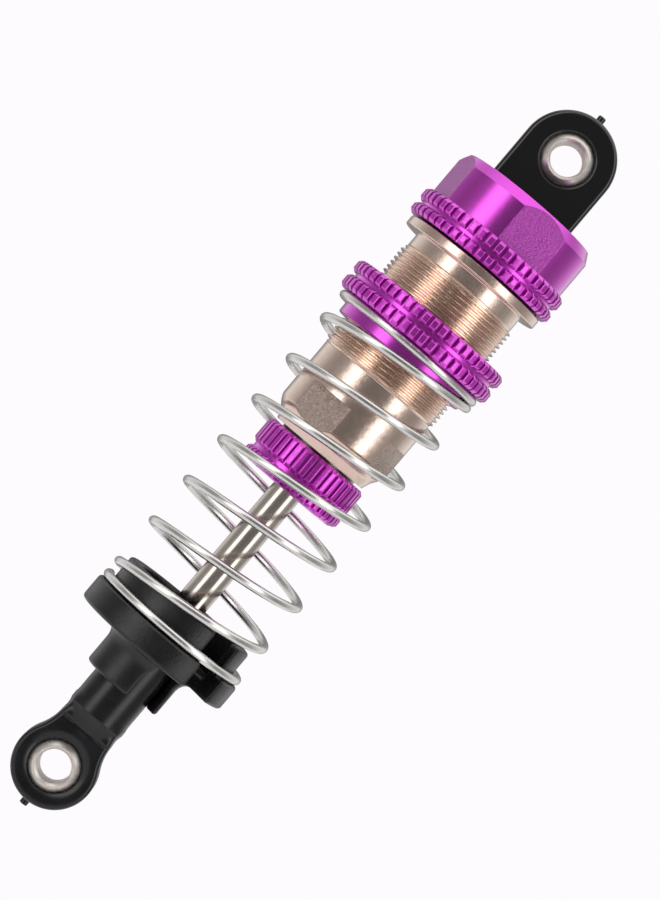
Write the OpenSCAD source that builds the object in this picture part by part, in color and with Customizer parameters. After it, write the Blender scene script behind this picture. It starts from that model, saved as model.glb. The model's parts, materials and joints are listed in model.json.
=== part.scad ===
// Coil-over damper for a 1/10 scale car: a threaded oil cylinder with a sprung, sliding rod.
// Millimetres. The origin is the centre of the upper eye's ball, and +Z points up the damper's axis.
// Both eye bores lie along Y. Everything else hangs below the origin.

/* [Length] */
// Distance between the centres of the two eyes, fully extended
eye_to_eye = 73.2; // [70:0.1:90]
// Travel of the rod into the cylinder
stroke = 14; // [10:0.5:14]
// Rod length kept in hand below the piston, used when the preload nut is wound down
droop_reserve = 2.5; // [2.5:0.1:3]

/* [Cylinder] */
// Bore of the oil cylinder
bore_d = 10; // [8:0.1:12.5]
// Wall between the bore and the thread's root
body_wall = 1.15; // [0.9:0.05:1.6]
// Depth of the long thread
thread_depth = 0.35; // [0.25:0.01:0.4]
// Pitch of the long thread
thread_pitch = 0.5; // [0.4:0.05:0.75]
// Length of the long thread
thread_len = 11.8; // [11:0.1:14]
// Plain neck between the thread and the top flange
neck_h = 1.35; // [0.8:0.05:2]
// Thickness of the top flange
flange_h = 0.95; // [0.7:0.05:1.5]
// Plain length below the thread, down to the cylinder's end face
plain_len = 8.3; // [7.5:0.1:10]
// Height of the two wrench flats above the cylinder's end face
flat_h = 4.9; // [3.5:0.1:6]
// Depth of each wrench flat
flat_depth = 0.42; // [0.2:0.02:0.6]
// Thickness of the web that the rod passes through
web_h = 0.7; // [0.5:0.05:1.2]
// Length of the nipple that carries the seal cap
nipple_h = 3.3; // [3:0.1:4]

/* [Cap] */
// Height of the screw cap
cap_h = 7.5; // [7:0.1:9]
// Wall of the cap outside its thread
cap_wall = 1.35; // [1:0.05:1.8]
// Thickness of the cap's top
cap_top = 1.3; // [1:0.05:1.6]
// Distance from the upper eye down to the cap's top face
cap_drop = 5.3; // [5:0.1:7]
// Notches around the cap's two knurled rings
cap_notches = 50; // [36:1:60]
// How far the knurled rings stand out from the cap
cap_rim = 0.6; // [0.3:0.05:1]

/* [Preload nut] */
// Height of each of the nut's two knurled rings and the groove between them, together
nut_h = 3; // [2.6:0.1:4]
// Height of the smooth boss that centres the spring
nut_boss_h = 2; // [1.5:0.1:2.6]
// Wall of the boss outside the thread
nut_boss_wall = 0.6; // [0.5:0.05:1]
// Width of the spring seat outside the boss
nut_seat_w = 1.55; // [1.3:0.05:2]
// Distance from the top of the thread down to the nut, as set
nut_drop = 3.9; // [3.2:0.1:5]
// Notches around the nut's knurled rings
nut_notches = 54; // [36:1:64]

/* [Spring] */
// Wire diameter
wire_d = 0.85; // [0.7:0.05:1.1]
// Total turns of wire
spring_turns = 8.6; // [7:0.1:10]
// Turns that lie flat at the lower end
flat_turns = 0.4; // [0.3:0.05:0.6]
// Turns over which the pitch opens up at the lower end
ramp_turns = 0.65; // [0.5:0.05:1.3]
// Turns that lie flat at the upper end
top_flat_turns = 0.55; // [0.3:0.05:0.6]
// Turns over which the pitch opens up at the upper end
top_ramp_turns = 0.9; // [0.7:0.1:1.3]

/* [Rod] */
// Diameter of the rod
shaft_d = 3; // [2.5:0.1:3.6]
// Thickness of the piston
piston_h = 2.2; // [1.8:0.1:3]
// Oil holes through the piston
piston_holes = 4; // [2:1:6]
// Diameter of each oil hole
piston_hole_d = 1.1; // [0.8:0.1:1.3]
// Thickness of each retaining clip
clip_h = 0.4; // [0.3:0.05:0.6]

/* [Seals] */
// Height of the seal cap
seal_cap_h = 4.6; // [4.4:0.1:6]
// Wall of the seal cap outside its thread
seal_cap_wall = 1.05; // [0.9:0.05:1.4]
// Notches around the seal cap
seal_notches = 44; // [30:1:52]
// Section of each rubber shaft seal
seal_section = 1.3; // [1.1:0.05:1.4]
// Wall of the nipple outside the seals
nipple_wall = 1.6; // [1.3:0.05:2]

/* [Eyes] */
// Diameter of each pivot ball
ball_d = 5.8; // [5.4:0.1:7]
// Bore of each pivot ball, for an M3 screw
ball_bore_d = 3.2; // [3:0.05:3.4]
// Width of each pivot ball between its end faces
ball_w = 4.3; // [3.8:0.1:4.6]
// Plastic around the upper ball
eyelet_wall = 1.75; // [1.3:0.05:2.4]
// Thickness of the upper eyelet
eyelet_t = 3.6; // [3.2:0.1:4.2]
// Plastic around the lower ball
rod_end_wall = 1.2; // [1:0.05:1.8]
// Thickness of the rod end's ring
rod_end_t = 3.8; // [3.4:0.1:4.2]

/* [Rod end and spring cup] */
// Height of the rod end above the lower eye
rod_end_h = 14; // [13:0.1:16]
// Diameter of the rod end's round stem
stem_d = 5.86; // [5.2:0.05:6.6]
// Thickness of the cup's flange
cup_flange_h = 2.6; // [1.8:0.1:3]
// Height of the cup's boss above its flange
cup_boss_h = 3.1; // [2.5:0.1:4]
// Wall of the cup's boss
cup_boss_wall = 1.2; // [1:0.05:1.4]
// Width of the cup's flange outside the boss
cup_seat_w = 1.15; // [1.1:0.05:2]
// Length of the collar that fits over the rod end
collar_h = 4.6; // [3:0.1:6]
// Wall of the collar
collar_wall = 1.05; // [0.8:0.05:1.5]
// Direction of the slot that lets the cup slip off the rod, about Z
slot_angle = -46; // [-180:1:180]
// Width of the arched opening in the collar below that slot
arch_w = 4.1; // [3.6:0.1:4.6]

/* [Hidden] */
$fn = 64;
eps = 0.1;

// Fits
run_fit = 0.05;    // radial gap of a part that slides or turns in another
loose_fit = 0.1;   // radial gap around a part that only has to go in
face_gap = 0.02;   // gap between two faces that meet

// Colours
purple = [0.66, 0.2, 0.66];
champagne = [0.78, 0.7, 0.64];
nylon = [0.06, 0.06, 0.07];
steel = [0.75, 0.74, 0.72];
rubber = [0.08, 0.08, 0.08];
acetal = [0.92, 0.92, 0.9];

// Cylinder
bore_r = bore_d / 2;
root_r = bore_r + body_wall;
crest_r = root_r + thread_depth;
plain_r = root_r + 0.05;             // plain lengths stand just above the thread's root
cap_thread_r = crest_r - 0.2;        // thread that takes the cap
cap_in_r = cap_thread_r + loose_fit;
cap_r = cap_in_r + cap_wall - 0.1;
cap_rim_r = cap_r + cap_rim;
cap_top_z = -cap_drop;
cap_bottom_z = cap_top_z - cap_h;
cap_gap = 0.2;                       // gap that shows the cap's O-ring
flange_top_z = cap_bottom_z - cap_gap;
thread_top_z = flange_top_z - flange_h - neck_h;
thread_bottom_z = thread_top_z - thread_len;
body_bottom_z = thread_bottom_z - plain_len;
shoulder_h = 2.1;                    // rounded shoulder at the cylinder's end
disc_h = 1.3;                        // eyelet disc under the cap's top
disc_r = cap_in_r - loose_fit;
bladder_rim_h = 0.5;
body_top_z = cap_top_z - cap_top - disc_h - bladder_rim_h - 2 * face_gap;
nipple_bottom_z = body_bottom_z - nipple_h;
web_top_z = body_bottom_z + shoulder_h - 0.1;
web_bottom_z = web_top_z - web_h;

// Seals, stacked in the nipple
seal_pocket_r = shaft_d / 2 + seal_section + 0.15;
nipple_r = seal_pocket_r + nipple_wall;
seal_gap = 0.05;
seal_cap_top_z = body_bottom_z - seal_gap;
seal_cap_bottom_z = seal_cap_top_z - seal_cap_h;
seal_cap_r = nipple_r + loose_fit + seal_cap_wall - 0.1;
spacer_h = 0.5;
guide_h = (web_bottom_z - nipple_bottom_z - 2 * seal_section - spacer_h) / 2 - face_gap;
upper_guide_z = web_bottom_z - face_gap - guide_h;
upper_seal_z = upper_guide_z - seal_section / 2;
spacer_z = upper_guide_z - seal_section - spacer_h;
lower_seal_z = spacer_z - seal_section / 2;
lower_guide_z = spacer_z - seal_section - guide_h;
rod_hole_r = shaft_d / 2 + loose_fit * 2;

// Preload nut
nut_in_r = crest_r + run_fit;
nut_boss_r = nut_in_r + nut_boss_wall;
nut_r = nut_boss_r + nut_seat_w;
nut_top_z = thread_top_z - nut_drop;
nut_seat_z = nut_top_z - nut_h;
nut_bottom_z = nut_seat_z - nut_boss_h;
nut_ring_section = 0.7;              // rubber ring that grips the thread
nut_ring_z = nut_top_z - nut_h * 0.62;
nut_ring_r = crest_r + 0.02 + nut_ring_section / 2;

// Lower end
lower_z = -eye_to_eye;
rod_top_z = lower_z + rod_end_h;
cup_ledge_z = rod_top_z + face_gap;  // the cup stands on the rod end here
cup_web_h = 1;
cup_floor_z = cup_ledge_z + cup_web_h;
cup_seat_z = cup_ledge_z + 2.2;
cup_under_z = cup_seat_z - cup_flange_h;
cup_rim_z = cup_seat_z + cup_boss_h;
cup_boss_r = nut_boss_r - 0.05;
cup_r = cup_boss_r + cup_seat_w;
cup_in_r = cup_boss_r - cup_boss_wall;
collar_bottom_z = rod_top_z - collar_h;
stem_r = stem_d / 2;
collar_in_r = stem_r + loose_fit;
collar_r = collar_in_r + collar_wall;
cup_slot_w = shaft_d + 4 * loose_fit;
cup_fillet = 0.9;

// Spring, standing on the cup and centred by both bosses
wire_r = wire_d / 2;
spring_r = nut_boss_r + 0.2 + wire_r;
spring_top_z = nut_seat_z - 2 * face_gap - wire_r;
spring_bottom_z = cup_seat_z + 2 * face_gap + wire_r;
spring_rise = spring_top_z - spring_bottom_z;
spring_start_angle = 170;
active_pitch = spring_rise
    / (spring_turns - flat_turns - top_flat_turns - (ramp_turns + top_ramp_turns) / 2);
wire_steps = 28;                     // sections for each turn
wire_sides = 8;

// Rod
piston_gap = 0.3;                    // left under the lowest clip at full droop
clip_r = shaft_d / 2 + 0.75;
groove_r = shaft_d / 2 - 0.35;
lower_clip_z = web_top_z + piston_gap + droop_reserve;
piston_z = lower_clip_z + clip_h + face_gap;
upper_clip_z = piston_z + piston_h + face_gap;
shaft_top_z = upper_clip_z + clip_h + 0.6;
shaft_thread_r = shaft_d / 2 - 0.2;
shaft_thread_len = 6;

// Eyes
ball_r = ball_d / 2;
ball_bore_r = ball_bore_d / 2;
ball_chamfer = 0.25;
socket_r = ball_r + run_fit;
lip_h = 0.3;                         // depth of the bevelled lip that keeps the ball in
eyelet_r = ball_r + eyelet_wall;
ring_r = ball_r + rod_end_wall;
flare_r = 5;                         // concave flare from the stem to the ring
nub_r = 0.4;                         // moulding gate left at each end
nub_h = 0.5;

// ---------------------------------------------------------------- shared shapes

// Solid of revolution about Z through the profile's points
module turned(points) {
    rotate_extrude() polygon(points);
}

// Ring of a round section about Z
module o_ring(mid_r, section, z) {
    translate([0, 0, z]) rotate_extrude() translate([mid_r, 0]) circle(d = section);
}

// Washer between two heights
module washer(out_r, in_r, z, h) {
    translate([0, 0, z]) difference() {
        cylinder(r = out_r, h = h);
        translate([0, 0, -eps]) cylinder(r = in_r, h = h + 2 * eps);
    }
}

// Outline of a knurled ring: flat lands with V notches between them
function knurl_outline(r, notches, depth) = [
    for (i = [0 : notches - 1])
        for (corner = [[0.2, r], [0.5, r - depth], [0.8, r]])
            let (a = 360 * (i + corner[0]) / notches)
                [corner[1] * cos(a), corner[1] * sin(a)]
];

// Knurled ring with chamfered edges, from z0 up to z1
module knurled_ring(r, z0, z1, notches, depth, chamfer) {
    over = 0.1;
    intersection() {
        turned([
            [0, z0], [r - chamfer, z0], [r + over, z0 + chamfer + over],
            [r + over, z1 - chamfer - over], [r - chamfer, z1], [0, z1]
        ]);
        translate([0, 0, z0 - eps])
            linear_extrude(z1 - z0 + 2 * eps) polygon(knurl_outline(r, notches, depth));
    }
}

// Ball with a chamfered bore along Y, centred at height z
module pivot_ball(z) {
    half = ball_w / 2;
    color(steel) translate([0, 0, z]) rotate([90, 0, 0]) difference() {
        intersection() {
            sphere(r = ball_r);
            translate([0, 0, -half]) cylinder(r = ball_r + eps, h = ball_w);
        }
        translate([0, 0, -half - eps]) cylinder(r = ball_bore_r, h = ball_w + 2 * eps);
        for (side = [0, 180]) rotate([side, 0, 0]) translate([0, 0, half - ball_chamfer])
            cylinder(r1 = ball_bore_r, r2 = ball_bore_r + 2 * ball_chamfer, h = 2 * ball_chamfer);
    }
}

// Socket that holds a ball in plastic of thickness t, with a bevelled lip on each face
module ball_socket(z, t, bevel) {
    lip_y = t / 2 - lip_h;
    lip_r = sqrt(socket_r * socket_r - lip_y * lip_y);
    translate([0, 0, z]) rotate([90, 0, 0]) {
        sphere(r = socket_r);
        for (side = [0, 180]) rotate([side, 0, 0]) translate([0, 0, lip_y - face_gap])
            cylinder(r1 = lip_r, r2 = lip_r + bevel * (1 + eps / lip_h), h = lip_h + eps + face_gap);
    }
}

// Retaining clip: a flat ring with a gap, that sits in a groove of the rod
module e_clip(z) {
    color(steel) translate([0, 0, z]) difference() {
        cylinder(r = clip_r, h = clip_h);
        translate([0, 0, -eps]) cylinder(r = groove_r + face_gap, h = clip_h + 2 * eps);
        translate([0, -groove_r, -eps]) cube([clip_r + eps, 2 * groove_r, clip_h + 2 * eps]);
    }
}

// ---------------------------------------------------------------- upper end

// Moulded tongue with the upper eye, on a round base that the cap clamps
module upper_eyelet() {
    base_z = cap_top_z - cap_top - face_gap;
    hole_r = eyelet_r + 0.5;
    color(nylon) difference() {
        union() {
            rotate([90, 0, 0]) translate([0, 0, -eyelet_t / 2]) cylinder(r = eyelet_r, h = eyelet_t);
            translate([-eyelet_r, -eyelet_t / 2, base_z]) cube([2 * eyelet_r, eyelet_t, -base_z]);
            translate([0, 0, base_z]) cylinder(r = hole_r - loose_fit, h = cap_top - 0.1);
            translate([0, 0, base_z - disc_h]) cylinder(r = disc_r, h = disc_h);
            translate([0, 0, eyelet_r - 0.2]) cylinder(r = nub_r, h = nub_h + 0.2);
        }
        ball_socket(0, eyelet_t, 0.25);
        translate([0, 0, base_z - disc_h - eps]) cylinder(r = bore_r - 0.8, h = 0.8 + eps);
    }
}

module upper_ball() {
    pivot_ball(0);
}

// Screw cap: four wrench flats above two knurled rings
module screw_cap() {
    ring_top_z = cap_bottom_z + 2.7;
    groove_z = cap_bottom_z + 1.1;
    groove_h = 0.3;
    chamfer_h = 1;
    chamfer_w = 0.55;
    flat_dist = cap_r - 0.46;
    hole_r = eyelet_r + 0.5;
    color(purple) difference() {
        union() {
            difference() {
                turned([
                    [0, groove_z], [cap_r, groove_z], [cap_r, cap_top_z - chamfer_h],
                    [cap_r - chamfer_w, cap_top_z], [0, cap_top_z]
                ]);
                for (a = [0 : 90 : 270]) rotate([0, 0, a - 72])
                    translate([flat_dist, -cap_r, ring_top_z]) cube([cap_r, 2 * cap_r, cap_h]);
            }
            knurled_ring(cap_rim_r, groove_z + groove_h, ring_top_z, cap_notches, 0.42, 0.3);
            knurled_ring(cap_rim_r, cap_bottom_z, groove_z, cap_notches, 0.42, 0.3);
            translate([0, 0, groove_z - eps]) cylinder(r = cap_rim_r - 0.55, h = groove_h + 2 * eps);
        }
        translate([0, 0, cap_bottom_z - eps]) cylinder(r = cap_in_r, h = cap_h - cap_top + eps);
        translate([0, 0, cap_top_z - cap_top - eps]) cylinder(r = hole_r, h = cap_top + 2 * eps);
        translate([0, 0, cap_bottom_z - eps]) cylinder(r = cap_in_r + 0.75, h = 0.7 + eps);
    }
}

// Rubber ring that seals the cap on the cylinder's flange
module cap_o_ring() {
    section = 0.7;
    color(rubber) o_ring(cap_thread_r + 0.02 + section / 2, section, flange_top_z + 0.02 + section / 2);
}

// Rubber diaphragm: a clamped rim with a shallow dome that takes up the rod's volume
module bladder() {
    rim_z = body_top_z + face_gap;
    dome_r = bore_r - 1;
    dome_h = 0.75;
    wall = 0.3;
    color(rubber) turned([
        [0, rim_z + dome_h - wall], [dome_r - wall - 0.4, rim_z + dome_h - wall], [dome_r - wall, rim_z],
        [disc_r - 0.1, rim_z], [disc_r - 0.1, rim_z + bladder_rim_h - face_gap],
        [dome_r, rim_z + bladder_rim_h - face_gap], [dome_r - 0.4, rim_z + dome_h], [0, rim_z + dome_h]
    ]);
}

// ---------------------------------------------------------------- cylinder

// Outside of the long thread, as [radius, height] points from bottom to top
function thread_profile() = let (n = floor(thread_len / thread_pitch)) [
    for (i = [0 : n - 1])
        for (corner = [[root_r, 0], [root_r, 0.15], [crest_r, 0.5], [crest_r, 0.65]])
            [corner[0], thread_bottom_z + (i + corner[1]) * thread_len / n],
    [root_r, thread_top_z]
];

// Oil cylinder, turned from one bar and threaded outside
module damper_body() {
    flange_r = cap_r;
    flat_dist = plain_r - flat_depth;
    profile = concat(
        [
            [0, nipple_bottom_z], [nipple_r - 0.2, nipple_bottom_z], [nipple_r, nipple_bottom_z + 0.2],
            [nipple_r, body_bottom_z], [plain_r - 1.1, body_bottom_z], [plain_r - 0.75, body_bottom_z + 0.9],
            [plain_r - 0.28, body_bottom_z + 1.55], [plain_r, body_bottom_z + shoulder_h],
            [plain_r, thread_bottom_z - 0.3]
        ],
        thread_profile(),
        [
            [plain_r, thread_top_z + 0.3], [plain_r, flange_top_z - flange_h],
            [flange_r - 0.15, flange_top_z - flange_h], [flange_r, flange_top_z - flange_h + 0.15],
            [flange_r, flange_top_z - 0.15], [flange_r - 0.15, flange_top_z],
            [cap_thread_r, flange_top_z], [cap_thread_r, body_top_z - 0.2],
            [cap_thread_r - 0.2, body_top_z], [0, body_top_z]
        ]
    );
    color(champagne) difference() {
        turned(profile);
        translate([0, 0, web_top_z]) cylinder(r = bore_r, h = body_top_z - web_top_z + eps);
        translate([0, 0, nipple_bottom_z - eps]) cylinder(r = rod_hole_r, h = web_top_z - nipple_bottom_z + 2 * eps);
        translate([0, 0, nipple_bottom_z - eps]) cylinder(r = seal_pocket_r, h = web_bottom_z - nipple_bottom_z + eps);
        for (a = [0, 180]) rotate([0, 0, a + 245])
            translate([flat_dist, -plain_r, body_bottom_z - eps]) cube([plain_r, 2 * plain_r, flat_h + eps]);
    }
}

// ---------------------------------------------------------------- preload nut and spring

// Threaded collar: two knurled rings over a smooth boss that centres the spring
module preload_nut() {
    groove_h = 0.35;
    lower_ring_h = (nut_h - groove_h) / 2 + 0.05;
    groove_z = nut_seat_z + lower_ring_h;
    groove_half = nut_ring_section / 2 + 0.07;
    color(purple) difference() {
        union() {
            knurled_ring(nut_r, nut_seat_z, groove_z, nut_notches, 0.45, 0.3);
            knurled_ring(nut_r, groove_z + groove_h, nut_top_z, nut_notches, 0.45, 0.3);
            translate([0, 0, groove_z - eps]) cylinder(r = nut_r - 0.6, h = groove_h + 2 * eps);
            turned([
                [0, nut_bottom_z], [nut_boss_r - 0.2, nut_bottom_z], [nut_boss_r, nut_bottom_z + 0.2],
                [nut_boss_r, nut_seat_z + eps], [0, nut_seat_z + eps]
            ]);
        }
        translate([0, 0, nut_bottom_z - eps]) cylinder(r = nut_in_r, h = nut_h + nut_boss_h + 2 * eps);
        translate([0, 0, nut_ring_z - groove_half]) cylinder(r = nut_ring_r + groove_half, h = 2 * groove_half);
    }
}

// Rubber ring in the nut's groove, which stops the nut from turning by itself
module preload_o_ring() {
    color(rubber) o_ring(nut_ring_r, nut_ring_section, nut_ring_z);
}

// Distance of the wire's centre from its seat, u turns from that end: flat, then opening up to the active pitch
function end_rise(u, flat, ramp) = u <= flat ? 0
    : u >= flat + ramp ? (u - flat - ramp / 2) * active_pitch
    : active_pitch * pow(u - flat, 2) / (2 * ramp);
// Height of the wire's centre after u turns, above its start
function wire_rise(u) = u <= spring_turns / 2 ? end_rise(u, flat_turns, ramp_turns)
    : spring_rise - end_rise(spring_turns - u, top_flat_turns, top_ramp_turns);

// One section of the wire, after u turns
function wire_section(u) = let (a = spring_start_angle + 360 * u, z = spring_bottom_z + wire_rise(u)) [
    for (k = [0 : wire_sides - 1])
        let (b = 360 * (k + 0.5) / wire_sides, r = spring_r + wire_r * cos(b))
            [r * cos(a), r * sin(a), z + wire_r * sin(b)]
];

// Open-ended compression spring, wound to the right
module spring() {
    sections = round(spring_turns * wire_steps);
    points = [for (i = [0 : sections]) each wire_section(i * spring_turns / sections)];
    sides = [
        for (i = [0 : sections - 1])
            for (k = [0 : wire_sides - 1])
                let (a = i * wire_sides + k, b = i * wire_sides + (k + 1) % wire_sides)
                    [a, b, b + wire_sides, a + wire_sides]
    ];
    start_face = [for (k = [wire_sides - 1 : -1 : 0]) k];
    end_face = [for (k = [0 : wire_sides - 1]) sections * wire_sides + k];
    color(steel) polyhedron(points, concat(sides, [start_face, end_face]), convexity = 12);
}

// ---------------------------------------------------------------- seals

// Knurled cap that holds the shaft seals in the nipple
module seal_cap() {
    groove_z = seal_cap_top_z - 2.7;
    groove_h = 0.4;
    lip_h = 0.15;
    color(purple) difference() {
        union() {
            knurled_ring(seal_cap_r, groove_z, seal_cap_top_z, seal_notches, 0.3, 0.35);
            knurled_ring(seal_cap_r, seal_cap_bottom_z + lip_h, groove_z - groove_h, seal_notches, 0.3, 0.3);
            translate([0, 0, groove_z - groove_h - eps]) cylinder(r = seal_cap_r - 0.42, h = groove_h + 2 * eps);
            turned([
                [0, seal_cap_bottom_z], [seal_cap_r - 0.7, seal_cap_bottom_z],
                [seal_cap_r - 0.4, seal_cap_bottom_z + lip_h], [0, seal_cap_bottom_z + lip_h]
            ]);
        }
        translate([0, 0, nipple_bottom_z - face_gap])
            cylinder(r = nipple_r + loose_fit, h = seal_cap_top_z - nipple_bottom_z + eps);
        translate([0, 0, seal_cap_bottom_z - eps]) cylinder(r = rod_hole_r, h = seal_cap_h);
    }
}

// Plastic bush that guides the rod
module guide(z) {
    color(acetal) washer(seal_pocket_r - face_gap, shaft_d / 2 + run_fit, z, guide_h);
}

module upper_guide() {
    guide(upper_guide_z);
}

module lower_guide() {
    guide(lower_guide_z);
}

// Rubber ring around the rod
module shaft_seal(z) {
    section = seal_section - 2 * face_gap;
    color(rubber) o_ring(shaft_d / 2 + 0.03 + section / 2, section, z);
}

module upper_shaft_seal() {
    shaft_seal(upper_seal_z);
}

module lower_shaft_seal() {
    shaft_seal(lower_seal_z);
}

// Washer that keeps the two shaft seals apart
module seal_spacer() {
    color(acetal) washer(seal_pocket_r - face_gap, shaft_d / 2 + loose_fit, spacer_z + face_gap, spacer_h - 2 * face_gap);
}

// ---------------------------------------------------------------- rod

// Piston rod: clip grooves at its top, and a reduced end that screws into the rod end
module shaft() {
    color(steel) difference() {
        turned([
            [0, rod_top_z - shaft_thread_len], [shaft_thread_r - 0.25, rod_top_z - shaft_thread_len],
            [shaft_thread_r, rod_top_z - shaft_thread_len + 0.25], [shaft_thread_r, rod_top_z + face_gap],
            [shaft_d / 2, rod_top_z + face_gap], [shaft_d / 2, shaft_top_z - 0.2],
            [shaft_d / 2 - 0.2, shaft_top_z], [0, shaft_top_z]
        ]);
        for (z = [lower_clip_z, upper_clip_z])
            washer(shaft_d, groove_r, z - face_gap / 2, clip_h + face_gap);
    }
}

// Piston with oil holes, held on the rod by two clips
module piston() {
    piston_r = bore_r - run_fit;
    hole_ring_r = (shaft_d / 2 + piston_r) / 2 + 0.25;
    color(acetal) difference() {
        turned([
            [0, piston_z], [piston_r - 0.2, piston_z], [piston_r, piston_z + 0.2],
            [piston_r, piston_z + piston_h - 0.2], [piston_r - 0.2, piston_z + piston_h],
            [0, piston_z + piston_h]
        ]);
        translate([0, 0, piston_z - eps]) cylinder(r = shaft_d / 2 + face_gap, h = piston_h + 2 * eps);
        for (i = [0 : piston_holes - 1]) rotate([0, 0, 360 * (i + 0.5) / piston_holes])
            translate([hole_ring_r, 0, piston_z - eps]) cylinder(d = piston_hole_d, h = piston_h + 2 * eps);
    }
}

module upper_e_clip() {
    e_clip(upper_clip_z);
}

module lower_e_clip() {
    e_clip(lower_clip_z);
}

// ---------------------------------------------------------------- lower end

// Half section of the spring cup: boss, flange, hollow fillet and collar
module cup_profile() {
    edge = 0.3;
    difference() {
        union() {
            polygon([
                [0, cup_under_z], [cup_r - edge, cup_under_z], [cup_r, cup_under_z + edge],
                [cup_r, cup_seat_z - edge], [cup_r - edge, cup_seat_z], [cup_boss_r, cup_seat_z],
                [cup_boss_r, cup_rim_z - edge], [cup_boss_r - edge, cup_rim_z], [0, cup_rim_z]
            ]);
            polygon([
                [0, collar_bottom_z], [collar_r - edge, collar_bottom_z],
                [collar_r, collar_bottom_z + edge], [collar_r, cup_under_z + eps], [0, cup_under_z + eps]
            ]);
            difference() {
                translate([collar_r - eps, cup_under_z - cup_fillet])
                    square([cup_fillet + eps, cup_fillet + eps]);
                translate([collar_r + cup_fillet, cup_under_z - cup_fillet]) circle(r = cup_fillet);
            }
        }
        translate([-eps, cup_floor_z]) square([cup_in_r + eps, cup_boss_h + cup_flange_h]);
        translate([-eps, collar_bottom_z - eps]) square([collar_in_r + eps, cup_ledge_z - collar_bottom_z + eps]);
        translate([-eps, collar_bottom_z]) square([rod_hole_r + eps, cup_rim_z - collar_bottom_z]);
    }
}

// Spring cup: slipped over the rod sideways through its slot, and held up by the rod end
module spring_cup() {
    arch_top_z = cup_under_z - 0.2;
    color(nylon) difference() {
        rotate_extrude() cup_profile();
        rotate([0, 0, slot_angle]) {
            translate([0, -cup_slot_w / 2, collar_bottom_z - eps])
                cube([cup_r + eps, cup_slot_w, cup_rim_z - collar_bottom_z + 2 * eps]);
            translate([0, -arch_w / 2, collar_bottom_z - eps])
                cube([cup_r + eps, arch_w, arch_top_z - arch_w / 2 - collar_bottom_z + eps]);
            translate([0, 0, arch_top_z - arch_w / 2]) rotate([0, 90, 0])
                cylinder(d = arch_w, h = cup_r + eps);
        }
    }
}

// Outline of the rod end's flat part, in X and Z: a ring that flares into the stem
module rod_end_outline() {
    flare_x = stem_r + flare_r;
    flare_z = sqrt(pow(ring_r + flare_r, 2) - flare_x * flare_x);
    touch = ring_r / (ring_r + flare_r);
    circle(r = ring_r);
    translate([-stem_r, 0]) square([2 * stem_r, flare_z + 1.2]);
    difference() {
        polygon([
            [-flare_x * touch, flare_z * touch], [0, 0], [flare_x * touch, flare_z * touch],
            [stem_r + eps, flare_z], [-stem_r - eps, flare_z]
        ]);
        for (side = [-1, 1]) translate([side * flare_x, flare_z]) circle(r = flare_r);
    }
}

// Moulded rod end: a round stem on a flat ring that holds the lower ball
module rod_end() {
    stem_low_z = lower_z + 5.9;
    shoulder = 1.8;                  // cone from the stem down to the flat ring
    color(nylon) difference() {
        union() {
            translate([0, rod_end_t / 2, lower_z]) rotate([90, 0, 0])
                linear_extrude(rod_end_t) rod_end_outline();
            turned([
                [0, stem_low_z - shoulder], [rod_end_t / 2 - 0.4, stem_low_z - shoulder],
                [stem_r, stem_low_z], [stem_r, rod_top_z - 0.3], [stem_r - 0.3, rod_top_z], [0, rod_top_z]
            ]);
            translate([0, 0, lower_z - ring_r - nub_h]) cylinder(r = nub_r, h = nub_h + 0.2);
        }
        ball_socket(lower_z, rod_end_t, 0.5);
        translate([0, 0, rod_top_z - shaft_thread_len - face_gap])
            cylinder(r = shaft_thread_r + 0.005, h = shaft_thread_len + eps);
    }
}

module lower_ball() {
    pivot_ball(lower_z);
}

upper_eyelet();
upper_ball();
screw_cap();
cap_o_ring();
bladder();
damper_body();
preload_nut();
preload_o_ring();
spring();
seal_cap();
upper_guide();
upper_shaft_seal();
seal_spacer();
lower_shaft_seal();
lower_guide();
shaft();
piston();
upper_e_clip();
lower_e_clip();
spring_cup();
rod_end();
lower_ball();
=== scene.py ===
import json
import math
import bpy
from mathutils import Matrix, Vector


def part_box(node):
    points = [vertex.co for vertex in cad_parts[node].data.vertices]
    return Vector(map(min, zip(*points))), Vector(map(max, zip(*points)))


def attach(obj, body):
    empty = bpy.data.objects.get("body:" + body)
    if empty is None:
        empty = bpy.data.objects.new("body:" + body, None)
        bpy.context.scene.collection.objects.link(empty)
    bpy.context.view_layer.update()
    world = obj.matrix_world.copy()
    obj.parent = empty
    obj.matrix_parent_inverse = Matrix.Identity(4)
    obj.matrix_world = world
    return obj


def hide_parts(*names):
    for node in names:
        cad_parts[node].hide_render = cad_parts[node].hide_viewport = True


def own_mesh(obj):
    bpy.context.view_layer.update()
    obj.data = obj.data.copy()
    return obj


bl_info = {
    "name": "Coil-over Damper",
    "version": (1, 0, 0),
    "blender": (4, 5, 0),
    "location": "View3D > Sidebar > Damper",
    "description": "Builds and finishes a small coil-over damper around its packed frame",
    "category": "Object",
}

import bpy
import numpy as np
from mathutils import Matrix, Vector

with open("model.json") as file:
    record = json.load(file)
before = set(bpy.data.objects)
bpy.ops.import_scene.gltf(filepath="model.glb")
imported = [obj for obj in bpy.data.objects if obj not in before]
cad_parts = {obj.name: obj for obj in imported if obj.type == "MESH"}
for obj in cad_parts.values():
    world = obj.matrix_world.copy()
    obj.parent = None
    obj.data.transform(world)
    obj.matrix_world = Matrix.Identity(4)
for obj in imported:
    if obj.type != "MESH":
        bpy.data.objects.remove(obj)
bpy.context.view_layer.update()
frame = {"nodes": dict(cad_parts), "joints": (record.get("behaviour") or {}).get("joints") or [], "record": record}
BODIES = frame["record"]["behaviour"]["bodies"]
SLOTS = {part["node"]: part["material_slot"] for part in frame["record"]["subparts"]}

MM = 0.001
TURN = 2 * math.pi

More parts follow.
